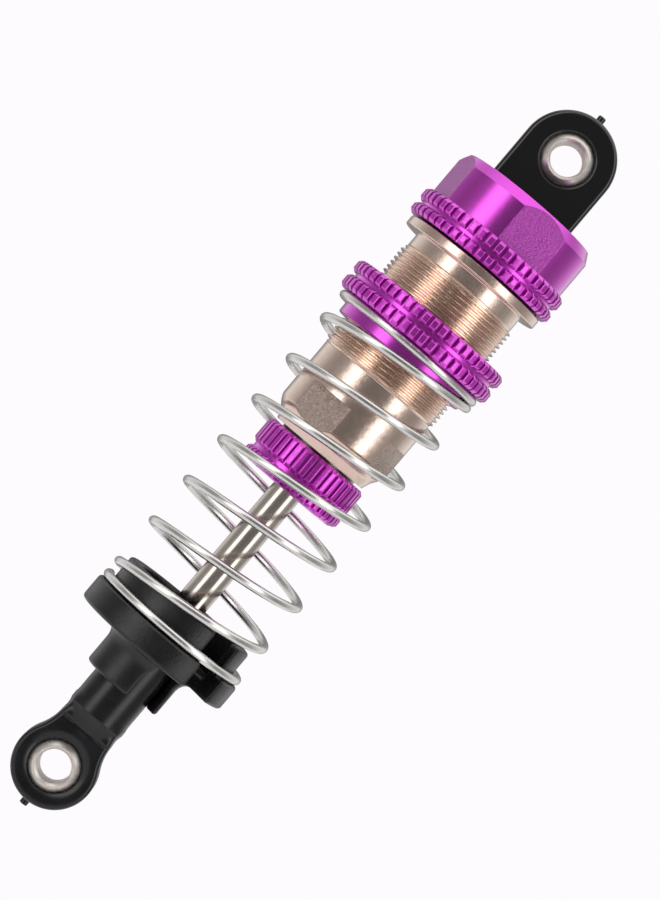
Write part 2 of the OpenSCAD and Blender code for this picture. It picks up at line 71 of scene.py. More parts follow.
# Kinds of node that many trees use
MATH = "ShaderNodeMath"
MIX = "ShaderNodeMix"
RANGE = "ShaderNodeMapRange"
NOISE = "ShaderNodeTexNoise"
BUMP = "ShaderNodeBump"

# Trees and materials that are already made, by name
# ---------------------------------------------------------------- places, from the frame, in millimetres


def heights(node):
    """Lowest and highest point of a CAD node."""
    low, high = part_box(node)
    return low[2] / MM, high[2] / MM


def radius(node):
    """Outer radius of a CAD node that is round about Z."""
    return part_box(node)[1][0] / MM


def thickness(node):
    """Size of a CAD node along Y, the direction of the eye bores."""
    low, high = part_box(node)
    return (high[1] - low[1]) / MM


def rim(node, z, pick):
    """Smallest or largest radius (pick is min or max) among the node's points at height z."""
    points = np.array([v.co for v in frame["nodes"][node].data.vertices]) / MM
    ring = points[abs(points[:, 2] - z) < 0.02]
    return float(pick(np.hypot(ring[:, 0], ring[:, 1])))


def radius_between(node, low, high):
    """Largest radius among the node's points between two heights."""
    points = np.array([v.co for v in frame["nodes"][node].data.vertices]) / MM
    band = points[(points[:, 2] > low - 0.02) & (points[:, 2] < high + 0.02)]
    return float(np.hypot(band[:, 0], band[:, 1]).max())


def bore_radius():
    """Radius of the oil cylinder's bore."""
    return rim("damper_body", heights("damper_body")[1], min)


def joint_of(name):
    """One of the record's joints."""
    return next(joint for joint in frame["joints"] if joint["name"] == name)


def mount_height(name):
    """Height of one of the record's mounts."""
    return next(m["pos_m"][2] for m in frame["record"]["mounts"] if m["name"] == name) / MM


BALL_RADIUS = radius("upper_ball")
UPPER_EYE = mount_height("upper_eye")
LOWER_EYE = mount_height("lower_eye")
CAP_LOW, CAP_HIGH = heights("screw_cap")
CAP_RING_TOP = CAP_LOW + 2.7
CAP_WALL = radius("screw_cap") - 0.6
CAP_FLAT_DEPTH = 0.46
CAP_FLAT_DIRECTION = math.radians(-72)
FLANGE_TOP = CAP_LOW - 0.2
FLANGE_LOW = FLANGE_TOP - 0.95
THREAD = (CAP_LOW - 14.3, CAP_LOW - 2.5)
CYLINDER_WALL = rim("damper_body", FLANGE_LOW, min)
CYLINDER_SHOULDER = heights("damper_body")[0] + 3.3
CYLINDER_FLAT_TOP = CYLINDER_SHOULDER + 4.9
CYLINDER_FLAT_DEPTH = 0.42
CYLINDER_FLAT_DIRECTION = math.radians(65)
SPRING_SEAT = joint_of("shaft_stroke")["deforming_nodes"][0]["fixed_end_z_m"] / MM


# ---------------------------------------------------------------- small tools


def linear(colour):
    """Linear RGBA of an sRGB hex colour."""
    parts = [int(colour[i:i + 2], 16) / 255 for i in (1, 3, 5)]
    return [c / 12.92 if c <= 0.04045 else ((c + 0.055) / 1.055) ** 2.4 for c in parts] + [1.0]


def add(tree, kind, settings=None, links=None):
    """Adds a node. A link is an output socket, or a constant for the input of that name or number."""
    node = tree.nodes.new(kind)
    for key, value in (settings or {}).items():
        setattr(node, key, value)
    for key, value in (links or {}).items():
        if isinstance(value, bpy.types.NodeSocket):
            tree.links.new(value, node.inputs[key])
        else:
            node.inputs[key].default_value = value
    return node


def plant(tree, known, rows):
    """Adds one node a row: (name, kind, settings, links). A name in links means that row's first output,
    and name.output another of its outputs."""
    for name, kind, settings, links in rows:
        found = {}
        for key, value in links.items():
            if isinstance(value, str):
                source, _, output = value.partition(".")
                value = known[source]
                if hasattr(value, "outputs"):
                    value = value.outputs[int(output) if output.isdigit() else output or 0]
            found[key] = value
        known[name] = add(tree, kind, settings, found)
    return known


def link_object(name, mesh):
    """Puts a mesh in the scene as an object at the origin."""
    piece = bpy.data.objects.new(name, mesh)
    bpy.context.scene.collection.objects.link(piece)
    return piece


def mesh_of(name, points, faces):
    """Mesh from points in millimetres."""
    mesh = bpy.data.meshes.new(name)
    mesh.from_pydata([tuple(p * MM for p in point) for point in points], [], faces)
    mesh.validate()
    mesh.update()
    return mesh


def shade(mesh, sharp_degrees):
    """Smooth shading that stays crisp at edges sharper than the angle."""
    mesh.shade_smooth()
    mesh.set_sharp_from_angle(angle=math.radians(sharp_degrees))


def rounded(corners, steps=4):
    """Outline through (radius, height, corner radius) corners, each corner turned into an arc."""
    points = []
    count = len(corners)
    for i, (x, z, bend) in enumerate(corners):
        here = np.array([x, z], float)
        if bend == 0:
            points.append((x, z))
            continue
        back = np.array(corners[i - 1][:2], float) - here
        ahead = np.array(corners[(i + 1) % count][:2], float) - here
        back_length, ahead_length = np.linalg.norm(back), np.linalg.norm(ahead)
        back, ahead = back / back_length, ahead / ahead_length
        half = math.acos(np.clip(back @ ahead, -1, 1)) / 2
        reach = min(bend / math.tan(half), 0.49 * back_length, 0.49 * ahead_length)
        bend = reach * math.tan(half)
        centre = here + (back + ahead) / np.linalg.norm(back + ahead) * bend / math.sin(half)
        start, end = here + back * reach - centre, here + ahead * reach - centre
        angle = math.atan2(start[0] * end[1] - start[1] * end[0], start @ end)
        for step in range(steps + 1):
            turn = angle * step / steps
            spin = np.array([[math.cos(turn), -math.sin(turn)], [math.sin(turn), math.cos(turn)]])
            points.append(tuple(centre + spin @ start))
    return points


def divided(outline, longest, low=-1e9, high=1e9):
    """Adds points to a closed outline wherever a line between those heights is longer than longest."""
    points = []
    for i, here in enumerate(outline):
        there = outline[(i + 1) % len(outline)]
        points.append(here)
        inside = low <= min(here[1], there[1]) and max(here[1], there[1]) <= high
        parts = math.ceil(math.dist(here, there) / longest) if inside else 1
        for k in range(1, parts):
            points.append(tuple(np.array(here) + (np.array(there) - here) * k / parts))
    return points


def lathe(name, outline, segments, phase=0.0):
    """Solid of revolution about Z. The closed outline runs anticlockwise in (radius, height);
    points on the axis become one point each."""
    points, rings = [], []
    for r, z in outline:
        if r < 1e-6:
            rings.append([len(points)] * segments)
            points.append((0, 0, z))
            continue
        rings.append(list(range(len(points), len(points) + segments)))
        points += [(r * math.cos(a), r * math.sin(a), z)
                   for a in (TURN * (k + phase) / segments for k in range(segments))]
    faces = []
    for i, ring in enumerate(rings):
        other = rings[(i + 1) % len(rings)]
        for k in range(segments):
            n = (k + 1) % segments
            corners = [ring[k], ring[n], other[n], other[k]]
            corners = [c for j, c in enumerate(corners) if c not in corners[:j]]
            if len(corners) > 2:
                faces.append(corners)
    return mesh_of(name, points, faces)


# ---------------------------------------------------------------- Geometry Nodes that shape by a rule


def node_tree(name, inputs):
    """Geometry node group with named inputs, (name, value) each, whose first socket is the mesh."""
    tree = bpy.data.node_groups.new(name, "GeometryNodeTree")
    tree.interface.new_socket(name="Mesh", in_out="INPUT", socket_type="NodeSocketGeometry")
    for label, value in inputs:
        kind = "NodeSocketMaterial" if value is None else "NodeSocketFloat"
        socket = tree.interface.new_socket(name=label, in_out="INPUT", socket_type=kind)
        if value is not None:
            socket.default_value = value
    tree.interface.new_socket(name="Mesh", in_out="OUTPUT", socket_type="NodeSocketGeometry")
    return tree


def finish_tree(tree, mesh, material, rim=None, rim_material=None):
    """Ends a geometry tree in Realize Instances and Set Material, with another material where rim says so."""
    real = add(tree, "GeometryNodeRealizeInstances", {}, {"Geometry": mesh})
    painted = add(tree, "GeometryNodeSetMaterial", {}, {"Geometry": real.outputs[0], "Material": material})
    if rim:
        painted = add(tree, "GeometryNodeSetMaterial", {}, {"Geometry": painted.outputs[0], "Selection": rim,
                                                            "Material": rim_material})
    add(tree, "NodeGroupOutput", {}, {0: painted.outputs[0]})
    return tree


def radial_tree(name, inputs, rows, rim=None):
    """Geometry tree that gives each point the radius called result in rows, at its old angle and height. The
    row called rim, if any, says where the input Rim Material goes."""
    tree = node_tree(name, inputs + [("Material", None)])
    source = add(tree, "NodeGroupInput")
    known = {"input": source}
    plant(tree, known, [
        ("place", "GeometryNodeInputPosition", {}, {}),
        ("axes", "ShaderNodeSeparateXYZ", {}, {0: "place"}),
        ("flat_place", "ShaderNodeCombineXYZ", {}, {0: "axes.X", 1: "axes.Y"}),
        ("old", "ShaderNodeVectorMath", {"operation": "LENGTH"}, {0: "flat_place"}),
    ])
    known["old"] = known["old"].outputs["Value"]
    plant(tree, known, [
        ("radius", MATH, {"operation": "MAXIMUM"}, {0: "old", 1: 1e-6}),
        ("angle", MATH, {"operation": "ARCTAN2"}, {0: "axes.Y", 1: "axes.X"}),
    ])
    plant(tree, known, rows)
    plant(tree, known, [
        ("share", MATH, {"operation": "DIVIDE"}, {0: "result", 1: "radius"}),
        ("x", MATH, {"operation": "MULTIPLY"}, {0: "axes.X", 1: "share"}),
        ("y", MATH, {"operation": "MULTIPLY"}, {0: "axes.Y", 1: "share"}),
        ("new_place", "ShaderNodeCombineXYZ", {}, {0: "x", 1: "y", 2: "axes.Z"}),
        ("moved", "GeometryNodeSetPosition", {}, {"Geometry": "input.Mesh", "Position": "new_place"}),
    ])
    mesh, material = known["moved"].outputs[0], source.outputs["Material"]
    if rim:
        return finish_tree(tree, mesh, material, known[rim].outputs[0], source.outputs["Rim Material"])
    return finish_tree(tree, mesh, material)


def knurl_tree():
    """Cuts even notches into everything that reaches past their floor, and gives that rim its own finish."""
    return radial_tree("knurl", [("Notches", 50.0), ("Outer Radius", 0.008), ("Depth", 0.0004), ("Width", 0.4),
                                 ("Rim Radius", 0.007), ("Rim Material", None)], [
        ("turns", MATH, {"operation": "DIVIDE"}, {0: "angle", 1: TURN}),
        ("count", MATH, {"operation": "MULTIPLY"}, {0: "turns", 1: "input.Notches"}),
        ("phase", MATH, {"operation": "FRACT"}, {0: "count"}),
        ("off", MATH, {"operation": "SUBTRACT"}, {0: "phase", 1: 0.5}),
        ("aside", MATH, {"operation": "ABSOLUTE"}, {0: "off"}),
        ("half", MATH, {"operation": "MULTIPLY"}, {0: "input.Width", 1: 0.5}),
        ("floor_half", MATH, {"operation": "MULTIPLY"}, {0: "input.Width", 1: 0.16}),
        ("cut", RANGE, {"interpolation_type": "SMOOTHSTEP"},
         {"Value": "aside", "From Min": "half", "From Max": "floor_half"}),
        ("depth", MATH, {"operation": "MULTIPLY"}, {0: "cut", 1: "input.Depth"}),
        ("star", MATH, {"operation": "SUBTRACT"}, {0: "input.Outer Radius", 1: "depth"}),
        ("result", MATH, {"operation": "MINIMUM"}, {0: "radius", 1: "star"}),
        ("on_rim", MATH, {"operation": "GREATER_THAN"}, {0: "radius", 1: "input.Rim Radius"}),
    ], "on_rim")


def flats_tree():
    """Mills even wrench flats between two heights."""
    return radial_tree("wrench flats", [("Count", 2.0), ("Distance", 0.006), ("Direction", 0.0),
                                        ("Low", -0.01), ("High", 0.0)], [
        ("sector", MATH, {"operation": "DIVIDE"}, {0: TURN, 1: "input.Count"}),
        ("half", MATH, {"operation": "MULTIPLY"}, {0: "sector", 1: 0.5}),
        ("turned", MATH, {"operation": "SUBTRACT"}, {0: "angle", 1: "input.Direction"}),
        ("shifted", MATH, {"operation": "ADD"}, {0: "turned", 1: "half"}),
        ("wrapped", MATH, {"operation": "FLOORED_MODULO"}, {0: "shifted", 1: "sector"}),
        ("off", MATH, {"operation": "SUBTRACT"}, {0: "wrapped", 1: "half"}),
        ("lean", MATH, {"operation": "COSINE"}, {0: "off"}),
        ("safe", MATH, {"operation": "MAXIMUM"}, {0: "lean", 1: 0.05}),
        ("plane", MATH, {"operation": "DIVIDE"}, {0: "input.Distance", 1: "safe"}),
        ("cut", MATH, {"operation": "MINIMUM"}, {0: "radius", 1: "plane"}),
        ("above", MATH, {"operation": "GREATER_THAN"}, {0: "axes.Z", 1: "input.Low"}),
        ("below", MATH, {"operation": "LESS_THAN"}, {0: "axes.Z", 1: "input.High"}),
        ("here", MATH, {"operation": "MULTIPLY"}, {0: "above", 1: "below"}),
        ("change", MATH, {"operation": "SUBTRACT"}, {0: "cut", 1: "radius"}),
        ("step", MATH, {"operation": "MULTIPLY"}, {0: "change", 1: "here"}),
        ("result", MATH, {"operation": "ADD"}, {0: "radius", 1: "step"}),
    ])


def thread_tree():
    """Raises a right-handed thread between two heights, fading in and out over half a turn."""
    return radial_tree("thread", [("Pitch", 0.0005), ("Depth", 0.0003), ("Low", -0.01), ("High", 0.0),
                                  ("Inside Radius", 0.005)], [
        ("turns", MATH, {"operation": "DIVIDE"}, {0: "angle", 1: TURN}),
        ("rows", MATH, {"operation": "DIVIDE"}, {0: "axes.Z", 1: "input.Pitch"}),
        ("along", MATH, {"operation": "SUBTRACT"}, {0: "rows", 1: "turns"}),
        ("phase", MATH, {"operation": "FRACT"}, {0: "along"}),
        ("off", MATH, {"operation": "SUBTRACT"}, {0: "phase", 1: 0.5}),
        ("aside", MATH, {"operation": "ABSOLUTE"}, {0: "off"}),
        ("crest", RANGE, {}, {"Value": "aside", "From Min": 0.43, "From Max": 0.09}),
        ("low_end", MATH, {"operation": "SUBTRACT"}, {0: "axes.Z", 1: "input.Low"}),
        ("low_fade", MATH, {"operation": "DIVIDE", "use_clamp": True}, {0: "low_end", 1: "input.Pitch"}),
        ("high_end", MATH, {"operation": "SUBTRACT"}, {0: "input.High", 1: "axes.Z"}),
        ("high_fade", MATH, {"operation": "DIVIDE", "use_clamp": True}, {0: "high_end", 1: "input.Pitch"}),
        ("outside", MATH, {"operation": "GREATER_THAN"}, {0: "radius", 1: "input.Inside Radius"}),
        ("fade", MATH, {"operation": "MULTIPLY"}, {0: "low_fade", 1: "high_fade"}),
        ("shown", MATH, {"operation": "MULTIPLY"}, {0: "fade", 1: "outside"}),
        ("height", MATH, {"operation": "MULTIPLY"}, {0: "crest", 1: "shown"}),
        ("rise", MATH, {"operation": "MULTIPLY"}, {0: "height", 1: "input.Depth"}),
        ("result", MATH, {"operation": "ADD"}, {0: "radius", 1: "rise"}),
    ])


def wire_tree():
    """Winds a straight line of points into an open-ended spring and gives it a round wire."""
    tree = node_tree("wire", [("Coil Radius", 0.008), ("Wire Radius", 0.0004), ("Turns", 8.6), ("Pitch", 0.005),
                              ("Flat Turns", 0.4), ("Ramp Turns", 0.65), ("Top Flat Turns", 0.55),
                              ("Top Ramp Turns", 0.9), ("Low", -0.05), ("High", -0.02), ("Start", 0.0),
                              ("Material", None)])
    source = add(tree, "NodeGroupInput")
    known = {"input": source}
    plant(tree, known, [
        ("place", "GeometryNodeInputPosition", {}, {}),
        ("axes", "ShaderNodeSeparateXYZ", {}, {0: "place"}),
        ("wound", MATH, {"operation": "MULTIPLY"}, {0: "axes.X", 1: "input.Turns"}),
        ("left", MATH, {"operation": "SUBTRACT"}, {0: "input.Turns", 1: "wound"}),
        ("near", MATH, {"operation": "MINIMUM"}, {0: "wound", 1: "left"}),
        ("in_upper_half", MATH, {"operation": "LESS_THAN"}, {0: "left", 1: "wound"}),
        ("flat", MIX, {"data_type": "FLOAT"},
         {0: "in_upper_half", 2: "input.Flat Turns", 3: "input.Top Flat Turns"}),
        ("ramp", MIX, {"data_type": "FLOAT"},
         {0: "in_upper_half", 2: "input.Ramp Turns", 3: "input.Top Ramp Turns"}),
        ("past_flat", MATH, {"operation": "SUBTRACT"}, {0: "near", 1: "flat"}),
        ("climbing", MATH, {"operation": "MAXIMUM"}, {0: "past_flat", 1: 0.0}),
        ("on_ramp", MATH, {"operation": "MINIMUM"}, {0: "climbing", 1: "ramp"}),
        ("past_ramp", MATH, {"operation": "SUBTRACT"}, {0: "climbing", 1: "on_ramp"}),
        ("square", MATH, {"operation": "MULTIPLY"}, {0: "on_ramp", 1: "on_ramp"}),
        ("ramp_share", MATH, {"operation": "DIVIDE"}, {0: "square", 1: "ramp"}),
        ("ramp_rise", MATH, {"operation": "MULTIPLY"}, {0: "ramp_share", 1: 0.5}),
        ("rise_turns", MATH, {"operation": "ADD"}, {0: "ramp_rise", 1: "past_ramp"}),
        ("end_rise", MATH, {"operation": "MULTIPLY"}, {0: "rise_turns", 1: "input.Pitch"}),
        ("upper", MATH, {"operation": "SUBTRACT"}, {0: "input.High", 1: "end_rise"}),
        ("lower", MATH, {"operation": "ADD"}, {0: "input.Low", 1: "end_rise"}),
        ("height", MIX, {"data_type": "FLOAT"}, {0: "in_upper_half", 2: "lower", 3: "upper"}),
        ("swept", MATH, {"operation": "MULTIPLY"}, {0: "wound", 1: TURN}),
        ("angle", MATH, {"operation": "ADD"}, {0: "swept", 1: "input.Start"}),
        ("cosine", MATH, {"operation": "COSINE"}, {0: "angle"}),
        ("sine", MATH, {"operation": "SINE"}, {0: "angle"}),
        ("x", MATH, {"operation": "MULTIPLY"}, {0: "cosine", 1: "input.Coil Radius"}),
        ("y", MATH, {"operation": "MULTIPLY"}, {0: "sine", 1: "input.Coil Radius"}),
        ("wound_place", "ShaderNodeCombineXYZ", {}, {0: "x", 1: "y", 2: "height"}),
        ("path", "GeometryNodeMeshToCurve", {}, {0: "input.Mesh"}),
        ("coil", "GeometryNodeSetPosition", {}, {"Geometry": "path", "Position": "wound_place"}),
        ("upright", "GeometryNodeSetCurveNormal", {"mode": "Z_UP"}, {"Curve": "coil"}),
        ("section", "GeometryNodeCurvePrimitiveCircle", {}, {"Resolution": 20, "Radius": "input.Wire Radius"}),
        ("tube", "GeometryNodeCurveToMesh", {}, {"Curve": "upright", "Profile Curve": "section", "Fill Caps": True}),
    ])
    return finish_tree(tree, known["tube"].outputs[0], source.outputs["Material"])


def shape(piece, tree_maker, values):
    """Adds a geometry tree to a piece, with its inputs set by name."""
    name = tree_maker.__name__
    if name not in SHARED:
        SHARED[name] = tree_maker()
    modifier = piece.modifiers.new(name, "NODES")
    modifier.node_group = SHARED[name]
    for item in SHARED[name].interface.items_tree:
        if item.in_out == "INPUT" and item.name in values:
            modifier[item.identifier] = values[item.name]


def bake(piece, sharp_degrees):
    """Turns a piece with geometry trees into a plain mesh."""
    bpy.context.view_layer.update()
    graph = bpy.context.evaluated_depsgraph_get()
    mesh = bpy.data.meshes.new_from_object(piece.evaluated_get(graph))
    piece.modifiers.clear()
    piece.data = mesh
    shade(mesh, sharp_degrees)


SHARED = {}


# ---------------------------------------------------------------- moulded shapes, as distance fields in millimetres


def blend(a, b, width):
    """Union of two distances with a hollow fillet about as wide as width."""
    near = np.maximum(width - abs(a - b), 0) / width
    return np.minimum(a, b) - near * near * width / 4


def cut(a, b, width):
    """What is left of a once b is taken away, with an edge rounded over width."""
    return -blend(-a, b, width)


def drawn(flat, along, half, edge):
    """A flat outline's distance, drawn out to half a length each way, with rounded edges."""
    side, end = flat + edge, abs(along) - half + edge
    return np.minimum(np.maximum(side, end), 0) + np.hypot(np.maximum(side, 0), np.maximum(end, 0)) - edge


def drum(x, y, z, out, low, high, edge):
    """Cylinder about Z between two heights, with rounded edges."""
    return drawn(np.hypot(x, y) - out, z - (low + high) / 2, (high - low) / 2, edge)


def socket(x, y, z, thick, gap, lip, bevel):
    """Round hollow that holds a ball, open through a bevelled lip on both faces."""
    hollow = np.sqrt(x * x + y * y + z * z) - BALL_RADIUS - gap
    lip_y = thick / 2 - lip
    lip_r = math.sqrt((BALL_RADIUS + gap) ** 2 - lip_y ** 2)
    depth = abs(y) - lip_y
    cone = (np.hypot(x, z) - lip_r - bevel * depth / lip) * lip / math.hypot(bevel, lip)
    return np.minimum(hollow, np.maximum(cone, -depth))


def skin(name, distance, low, high, step):
    """Closed mesh of the surface where a distance field is zero, inside a box, with faces about step wide."""
    axes = [np.arange(a - 2.5 * step, b + 3 * step, step) for a, b in zip(low, high)]
    origin = np.array([a[0] for a in axes])
    field = distance(*np.meshgrid(*axes, indexing="ij"))
    inside = field < 0
    cells = tuple(n - 1 for n in field.shape)

    def corner(values, offset):
        return values[tuple(slice(o, o + n) for o, n in zip(offset, cells))]

    offsets = [(i, j, k) for i in (0, 1) for j in (0, 1) for k in (0, 1)]
    filled = sum(corner(inside, o).astype(int) for o in offsets)
    active = (filled > 0) & (filled < 8)
    place = np.argwhere(active)
    number = np.full(cells, -1)
    number[active] = np.arange(len(place))
    total, crossings = np.zeros((len(place), 3)), np.zeros((len(place), 1))
    for axis in range(3):
        for start in (o for o in offsets if o[axis] == 0):
            stop = tuple(o + (i == axis) for i, o in enumerate(start))
            a, b = corner(field, start)[active], corner(field, stop)[active]
            crossed = ((a < 0) != (b < 0))[:, None]
            share = np.where(crossed[:, 0], a / np.where(a == b, 1, a - b), 0)
            point = place + np.array(start) + share[:, None] * np.eye(3)[axis]
            total += np.where(crossed, point, 0)
            crossings += crossed
    points = origin + total / crossings * step
    for _ in range(4):
        here = distance(*points.T)
        slope = np.stack([distance(*(points + d).T) - distance(*(points - d).T) for d in np.eye(3) * 0.01]) / 0.02
        move = -here * slope / np.maximum((slope ** 2).sum(0), 0.25)
        points += np.clip(move.T, -0.4 * step, 0.4 * step)
    faces = []
    for axis in range(3):
        b, c = (axis + 1) % 3, (axis + 2) % 3
        ahead = np.roll(inside, -1, axis)
        crossing = inside != ahead
        crossing[tuple(slice(-1, None) if i == axis else slice(None) for i in range(3))] = False
        edges = np.argwhere(crossing)
        back_b, back_c = np.eye(3, dtype=int)[b], np.eye(3, dtype=int)[c]
        ring = [edges - back_b - back_c, edges - back_c, edges, edges - back_b]
        quads = np.stack([number[tuple(r.T)] for r in ring], 1)
        outward = inside[tuple(edges.T)]
        faces.append(np.where(outward[:, None], quads, quads[:, ::-1]))
    return mesh_of(name, points, np.concatenate(faces).tolist())


# ---------------------------------------------------------------- materials


def per_mm(size):
    """Texture scale that gives features about size millimetres wide."""
    return 1 / (size * MM)


def new_material(name):
    """Empty Principled material, and the known nodes to plant its rows from."""
    material = bpy.data.materials.new(name)
    material.use_nodes = True
    tree = material.node_tree
    known = {"coords": add(tree, "ShaderNodeTexCoord")}
    return material, tree, known


def set_surface(tree, known, constants, links):
    """Sets the Principled shader's own sockets, and links the ones that vary."""
    shader = tree.nodes["Principled BSDF"]
    for key, value in constants.items():
        shader.inputs[key].default_value = value
    for key, name in links.items():
        source, _, output = name.partition(".")
        tree.links.new(known[source].outputs[int(output or 0)], shader.inputs[key])


def turning_rows():
    """Rows that give a place in the plane of radius and height, where lathe marks are straight lines."""
    return [
        ("axes", "ShaderNodeSeparateXYZ", {}, {0: "coords.Object"}),
        ("across", "ShaderNodeCombineXYZ", {}, {0: "axes.X", 1: "axes.Y"}),
        ("radius", "ShaderNodeVectorMath", {"operation": "LENGTH"}, {0: "across"}),
        ("turned_place", "ShaderNodeCombineXYZ", {}, {0: "radius.Value", 1: "axes.Z"}),
    ]


def milled_rows(direction, distance, low, high):
    """Rows that give 1 on two or four wrench flats at a distance from the axis, and 0 elsewhere."""
    return [
        ("turned", "ShaderNodeVectorRotate", {"rotation_type": "Z_AXIS"},
         {"Vector": "coords.Object", "Angle": -direction}),
        ("folded", "ShaderNodeVectorMath", {"operation": "ABSOLUTE"}, {0: "turned"}),
        ("flat_axes", "ShaderNodeSeparateXYZ", {}, {0: "folded"}),
        ("outermost", MATH, {"operation": "MAXIMUM"}, {0: "flat_axes.X", 1: "flat_axes.Y"}),
        ("far", MATH, {"operation": "GREATER_THAN"}, {0: "outermost", 1: (distance - 0.01) * MM}),
        ("over", MATH, {"operation": "GREATER_THAN"}, {0: "axes.Z", 1: low * MM}),
        ("under", MATH, {"operation": "LESS_THAN"}, {0: "axes.Z", 1: high * MM}),
        ("within", MATH, {"operation": "MULTIPLY"}, {0: "over", 1: "under"}),
        ("milled", MATH, {"operation": "MULTIPLY"}, {0: "far", 1: "within"}),
    ]


def anodised_metal(name, rows, rough_low, rough_high, marks, grain_size, grain, cutter):
    """Aluminium under a dyed oxide film: tinted reflections below a clear gloss, with fine lathe marks and an
    etched grain. The rows give its colour, and milled where a cutter left it rough."""
    material, tree, known = new_material(name)
    plant(tree, known, turning_rows() + [
        ("marks", NOISE, {"noise_dimensions": "2D"}, {"Vector": "turned_place", "Scale": per_mm(0.16),
                                                      "Detail": 2.0}),
        ("grain", NOISE, {}, {"Vector": "coords.Object", "Scale": per_mm(grain_size), "Detail": 3.0}),
        ("cutter", NOISE, {}, {"Vector": "coords.Object", "Scale": per_mm(0.3), "Detail": 2.0, "Distortion": 1.5}),
        ("cloud", NOISE, {}, {"Vector": "coords.Object", "Scale": per_mm(5), "Detail": 2.0}),
    ] + rows + [
        ("smooth", RANGE, {}, {"Value": "grain", "From Min": 0.3, "From Max": 0.7,
                                              "To Min": rough_low, "To Max": rough_high}),
        ("rough", MIX, {"data_type": "FLOAT"}, {0: "milled", 2: "smooth", 3: 0.5}),
        ("tint", MIX, {"data_type": "RGBA", "blend_type": "MULTIPLY"},
         {0: "milled", 6: "colour.2", 7: (0.62, 0.62, 0.62, 1.0)}),
        ("cuts", MATH, {"operation": "MULTIPLY"}, {0: "cutter", 1: "milled"}),
        ("etched", BUMP, {}, {"Strength": 1.0, "Distance": grain * MM, "Height": "grain"}),
        ("turned_marks", BUMP, {}, {"Strength": 1.0, "Distance": marks * MM, "Height": "marks",
                                                "Normal": "etched"}),
        ("bump", BUMP, {}, {"Strength": 1.0, "Distance": cutter * MM, "Height": "cuts",
                                        "Normal": "turned_marks"}),
    ])
    set_surface(tree, known, {"Metallic": 1.0, "Coat Weight": 0.6, "Coat IOR": 1.77, "Coat Roughness": 0.18},
                {"Base Color": "tint.2", "Roughness": "rough.0", "Normal": "bump", "Coat Normal": "bump"})
    return material


def dye(name):
    """One of the colours that are set in the panel."""
    return list(getattr(bpy.context.scene.damper_colours, name))


def violet_rows():
    """Rows that give the violet dye's colour, and where the cap's wrench flats are."""
    return milled_rows(CAP_FLAT_DIRECTION, CAP_WALL - CAP_FLAT_DEPTH, CAP_RING_TOP, CAP_HIGH) + [
        ("colour", MIX, {"data_type": "RGBA"}, {0: "cloud", 6: dye("purple_deep"), 7: dye("purple_light")})]


def purple_anodised():
    # Bright-dipped aluminium under violet dye: saturated reflections, softer on the milled flats.
    return anodised_metal("purple anodised aluminium", violet_rows(), 0.17, 0.26, 0.0015, 0.2, 0.0012, 0.06)


def purple_knurled():
    # The same dye over rolled knurling, whose bruised lands scatter the light.
    return anodised_metal("knurled purple aluminium", violet_rows(), 0.26, 0.4, 0.003, 0.25, 0.008, 0)


def champagne_anodised():
    # Satin-etched aluminium under a thin warm dye: soft bright bands with a wavy grain in them, browner where
    # the thread's flanks face each other, and painted shade, nearly black, on the body below its shoulder in the seam
    # above the seal cap.
    low, high = THREAD
    flats = milled_rows(CYLINDER_FLAT_DIRECTION, CYLINDER_WALL - CYLINDER_FLAT_DEPTH, CYLINDER_SHOULDER,
                        CYLINDER_FLAT_TOP)
    return anodised_metal("champagne anodised aluminium", flats + [
        ("plain", MIX, {"data_type": "RGBA"}, {0: "cloud", 6: dye("champagne_deep"), 7: dye("champagne_light")}),
        ("above", MATH, {"operation": "GREATER_THAN"}, {0: "axes.Z", 1: low * MM}),
        ("below", MATH, {"operation": "LESS_THAN"}, {0: "axes.Z", 1: high * MM}),
        ("on_thread", MATH, {"operation": "MULTIPLY"}, {0: "above", 1: "below"}),
        ("clean", MIX, {"data_type": "RGBA"}, {0: "on_thread", 6: "plain.2", 7: dye("champagne_thread")}),
        # Painted shade: everything below the shoulder, seen only through the seam above the seal cap, is coloured
        # nearly black.
        ("on_nipple", MATH, {"operation": "LESS_THAN"}, {0: "axes.Z", 1: (CYLINDER_SHOULDER - 0.01) * MM}),
        ("colour", MIX, {"data_type": "RGBA"}, {0: "on_nipple", 6: "clean.2", 7: linear("#17110E")}),
    ], 0.16, 0.26, 0.001, 0.5, 0.016, 0.2)


def steel(name, colour, rough_low, rough_high, stretch, grain_size, grain):
    """Bare bright steel with drawing marks along stretch."""
    material, tree, known = new_material(name)
    plant(tree, known, [
        ("stretched", "ShaderNodeMapping", {}, {"Vector": "coords.Object", "Scale": stretch}),
        ("grain", NOISE, {}, {"Vector": "stretched", "Scale": per_mm(grain_size), "Detail": 3.0}),
        ("cloud", NOISE, {}, {"Vector": "coords.Object", "Scale": per_mm(3), "Detail": 2.0}),
        ("tone", RANGE, {}, {"Value": "cloud", "From Min": 0.3, "From Max": 0.7,
                                            "To Min": 0.85, "To Max": 1.0}),
        ("colour", MIX, {"data_type": "RGBA"}, {0: "tone", 6: linear("#7D7A77"), 7: colour}),
        ("rough", RANGE, {}, {"Value": "grain", "From Min": 0.3, "From Max": 0.7,
                                             "To Min": rough_low, "To Max": rough_high}),
        ("bump", BUMP, {}, {"Strength": 1.0, "Distance": grain * MM, "Height": "grain"}),
    ])
    set_surface(tree, known, {"Metallic": 1.0},
                {"Base Color": "colour.2", "Roughness": "rough", "Normal": "bump"})
    return material


def spring_steel():
    # Nickel-plated music wire: bright lines along the coil, slightly softened by the plating.
    return steel("nickel-plated spring wire", dye("wire"), 0.2, 0.28,
                 (1, 1, 1), 0.5, 0.0012)


def rod_steel():
    # Centreless-ground and polished rod: mirror bands with short ground-in flecks along it.
    return steel("polished rod steel", dye("steel"), 0.1, 0.2, (1, 1, 0.25), 0.12, 0.0015)


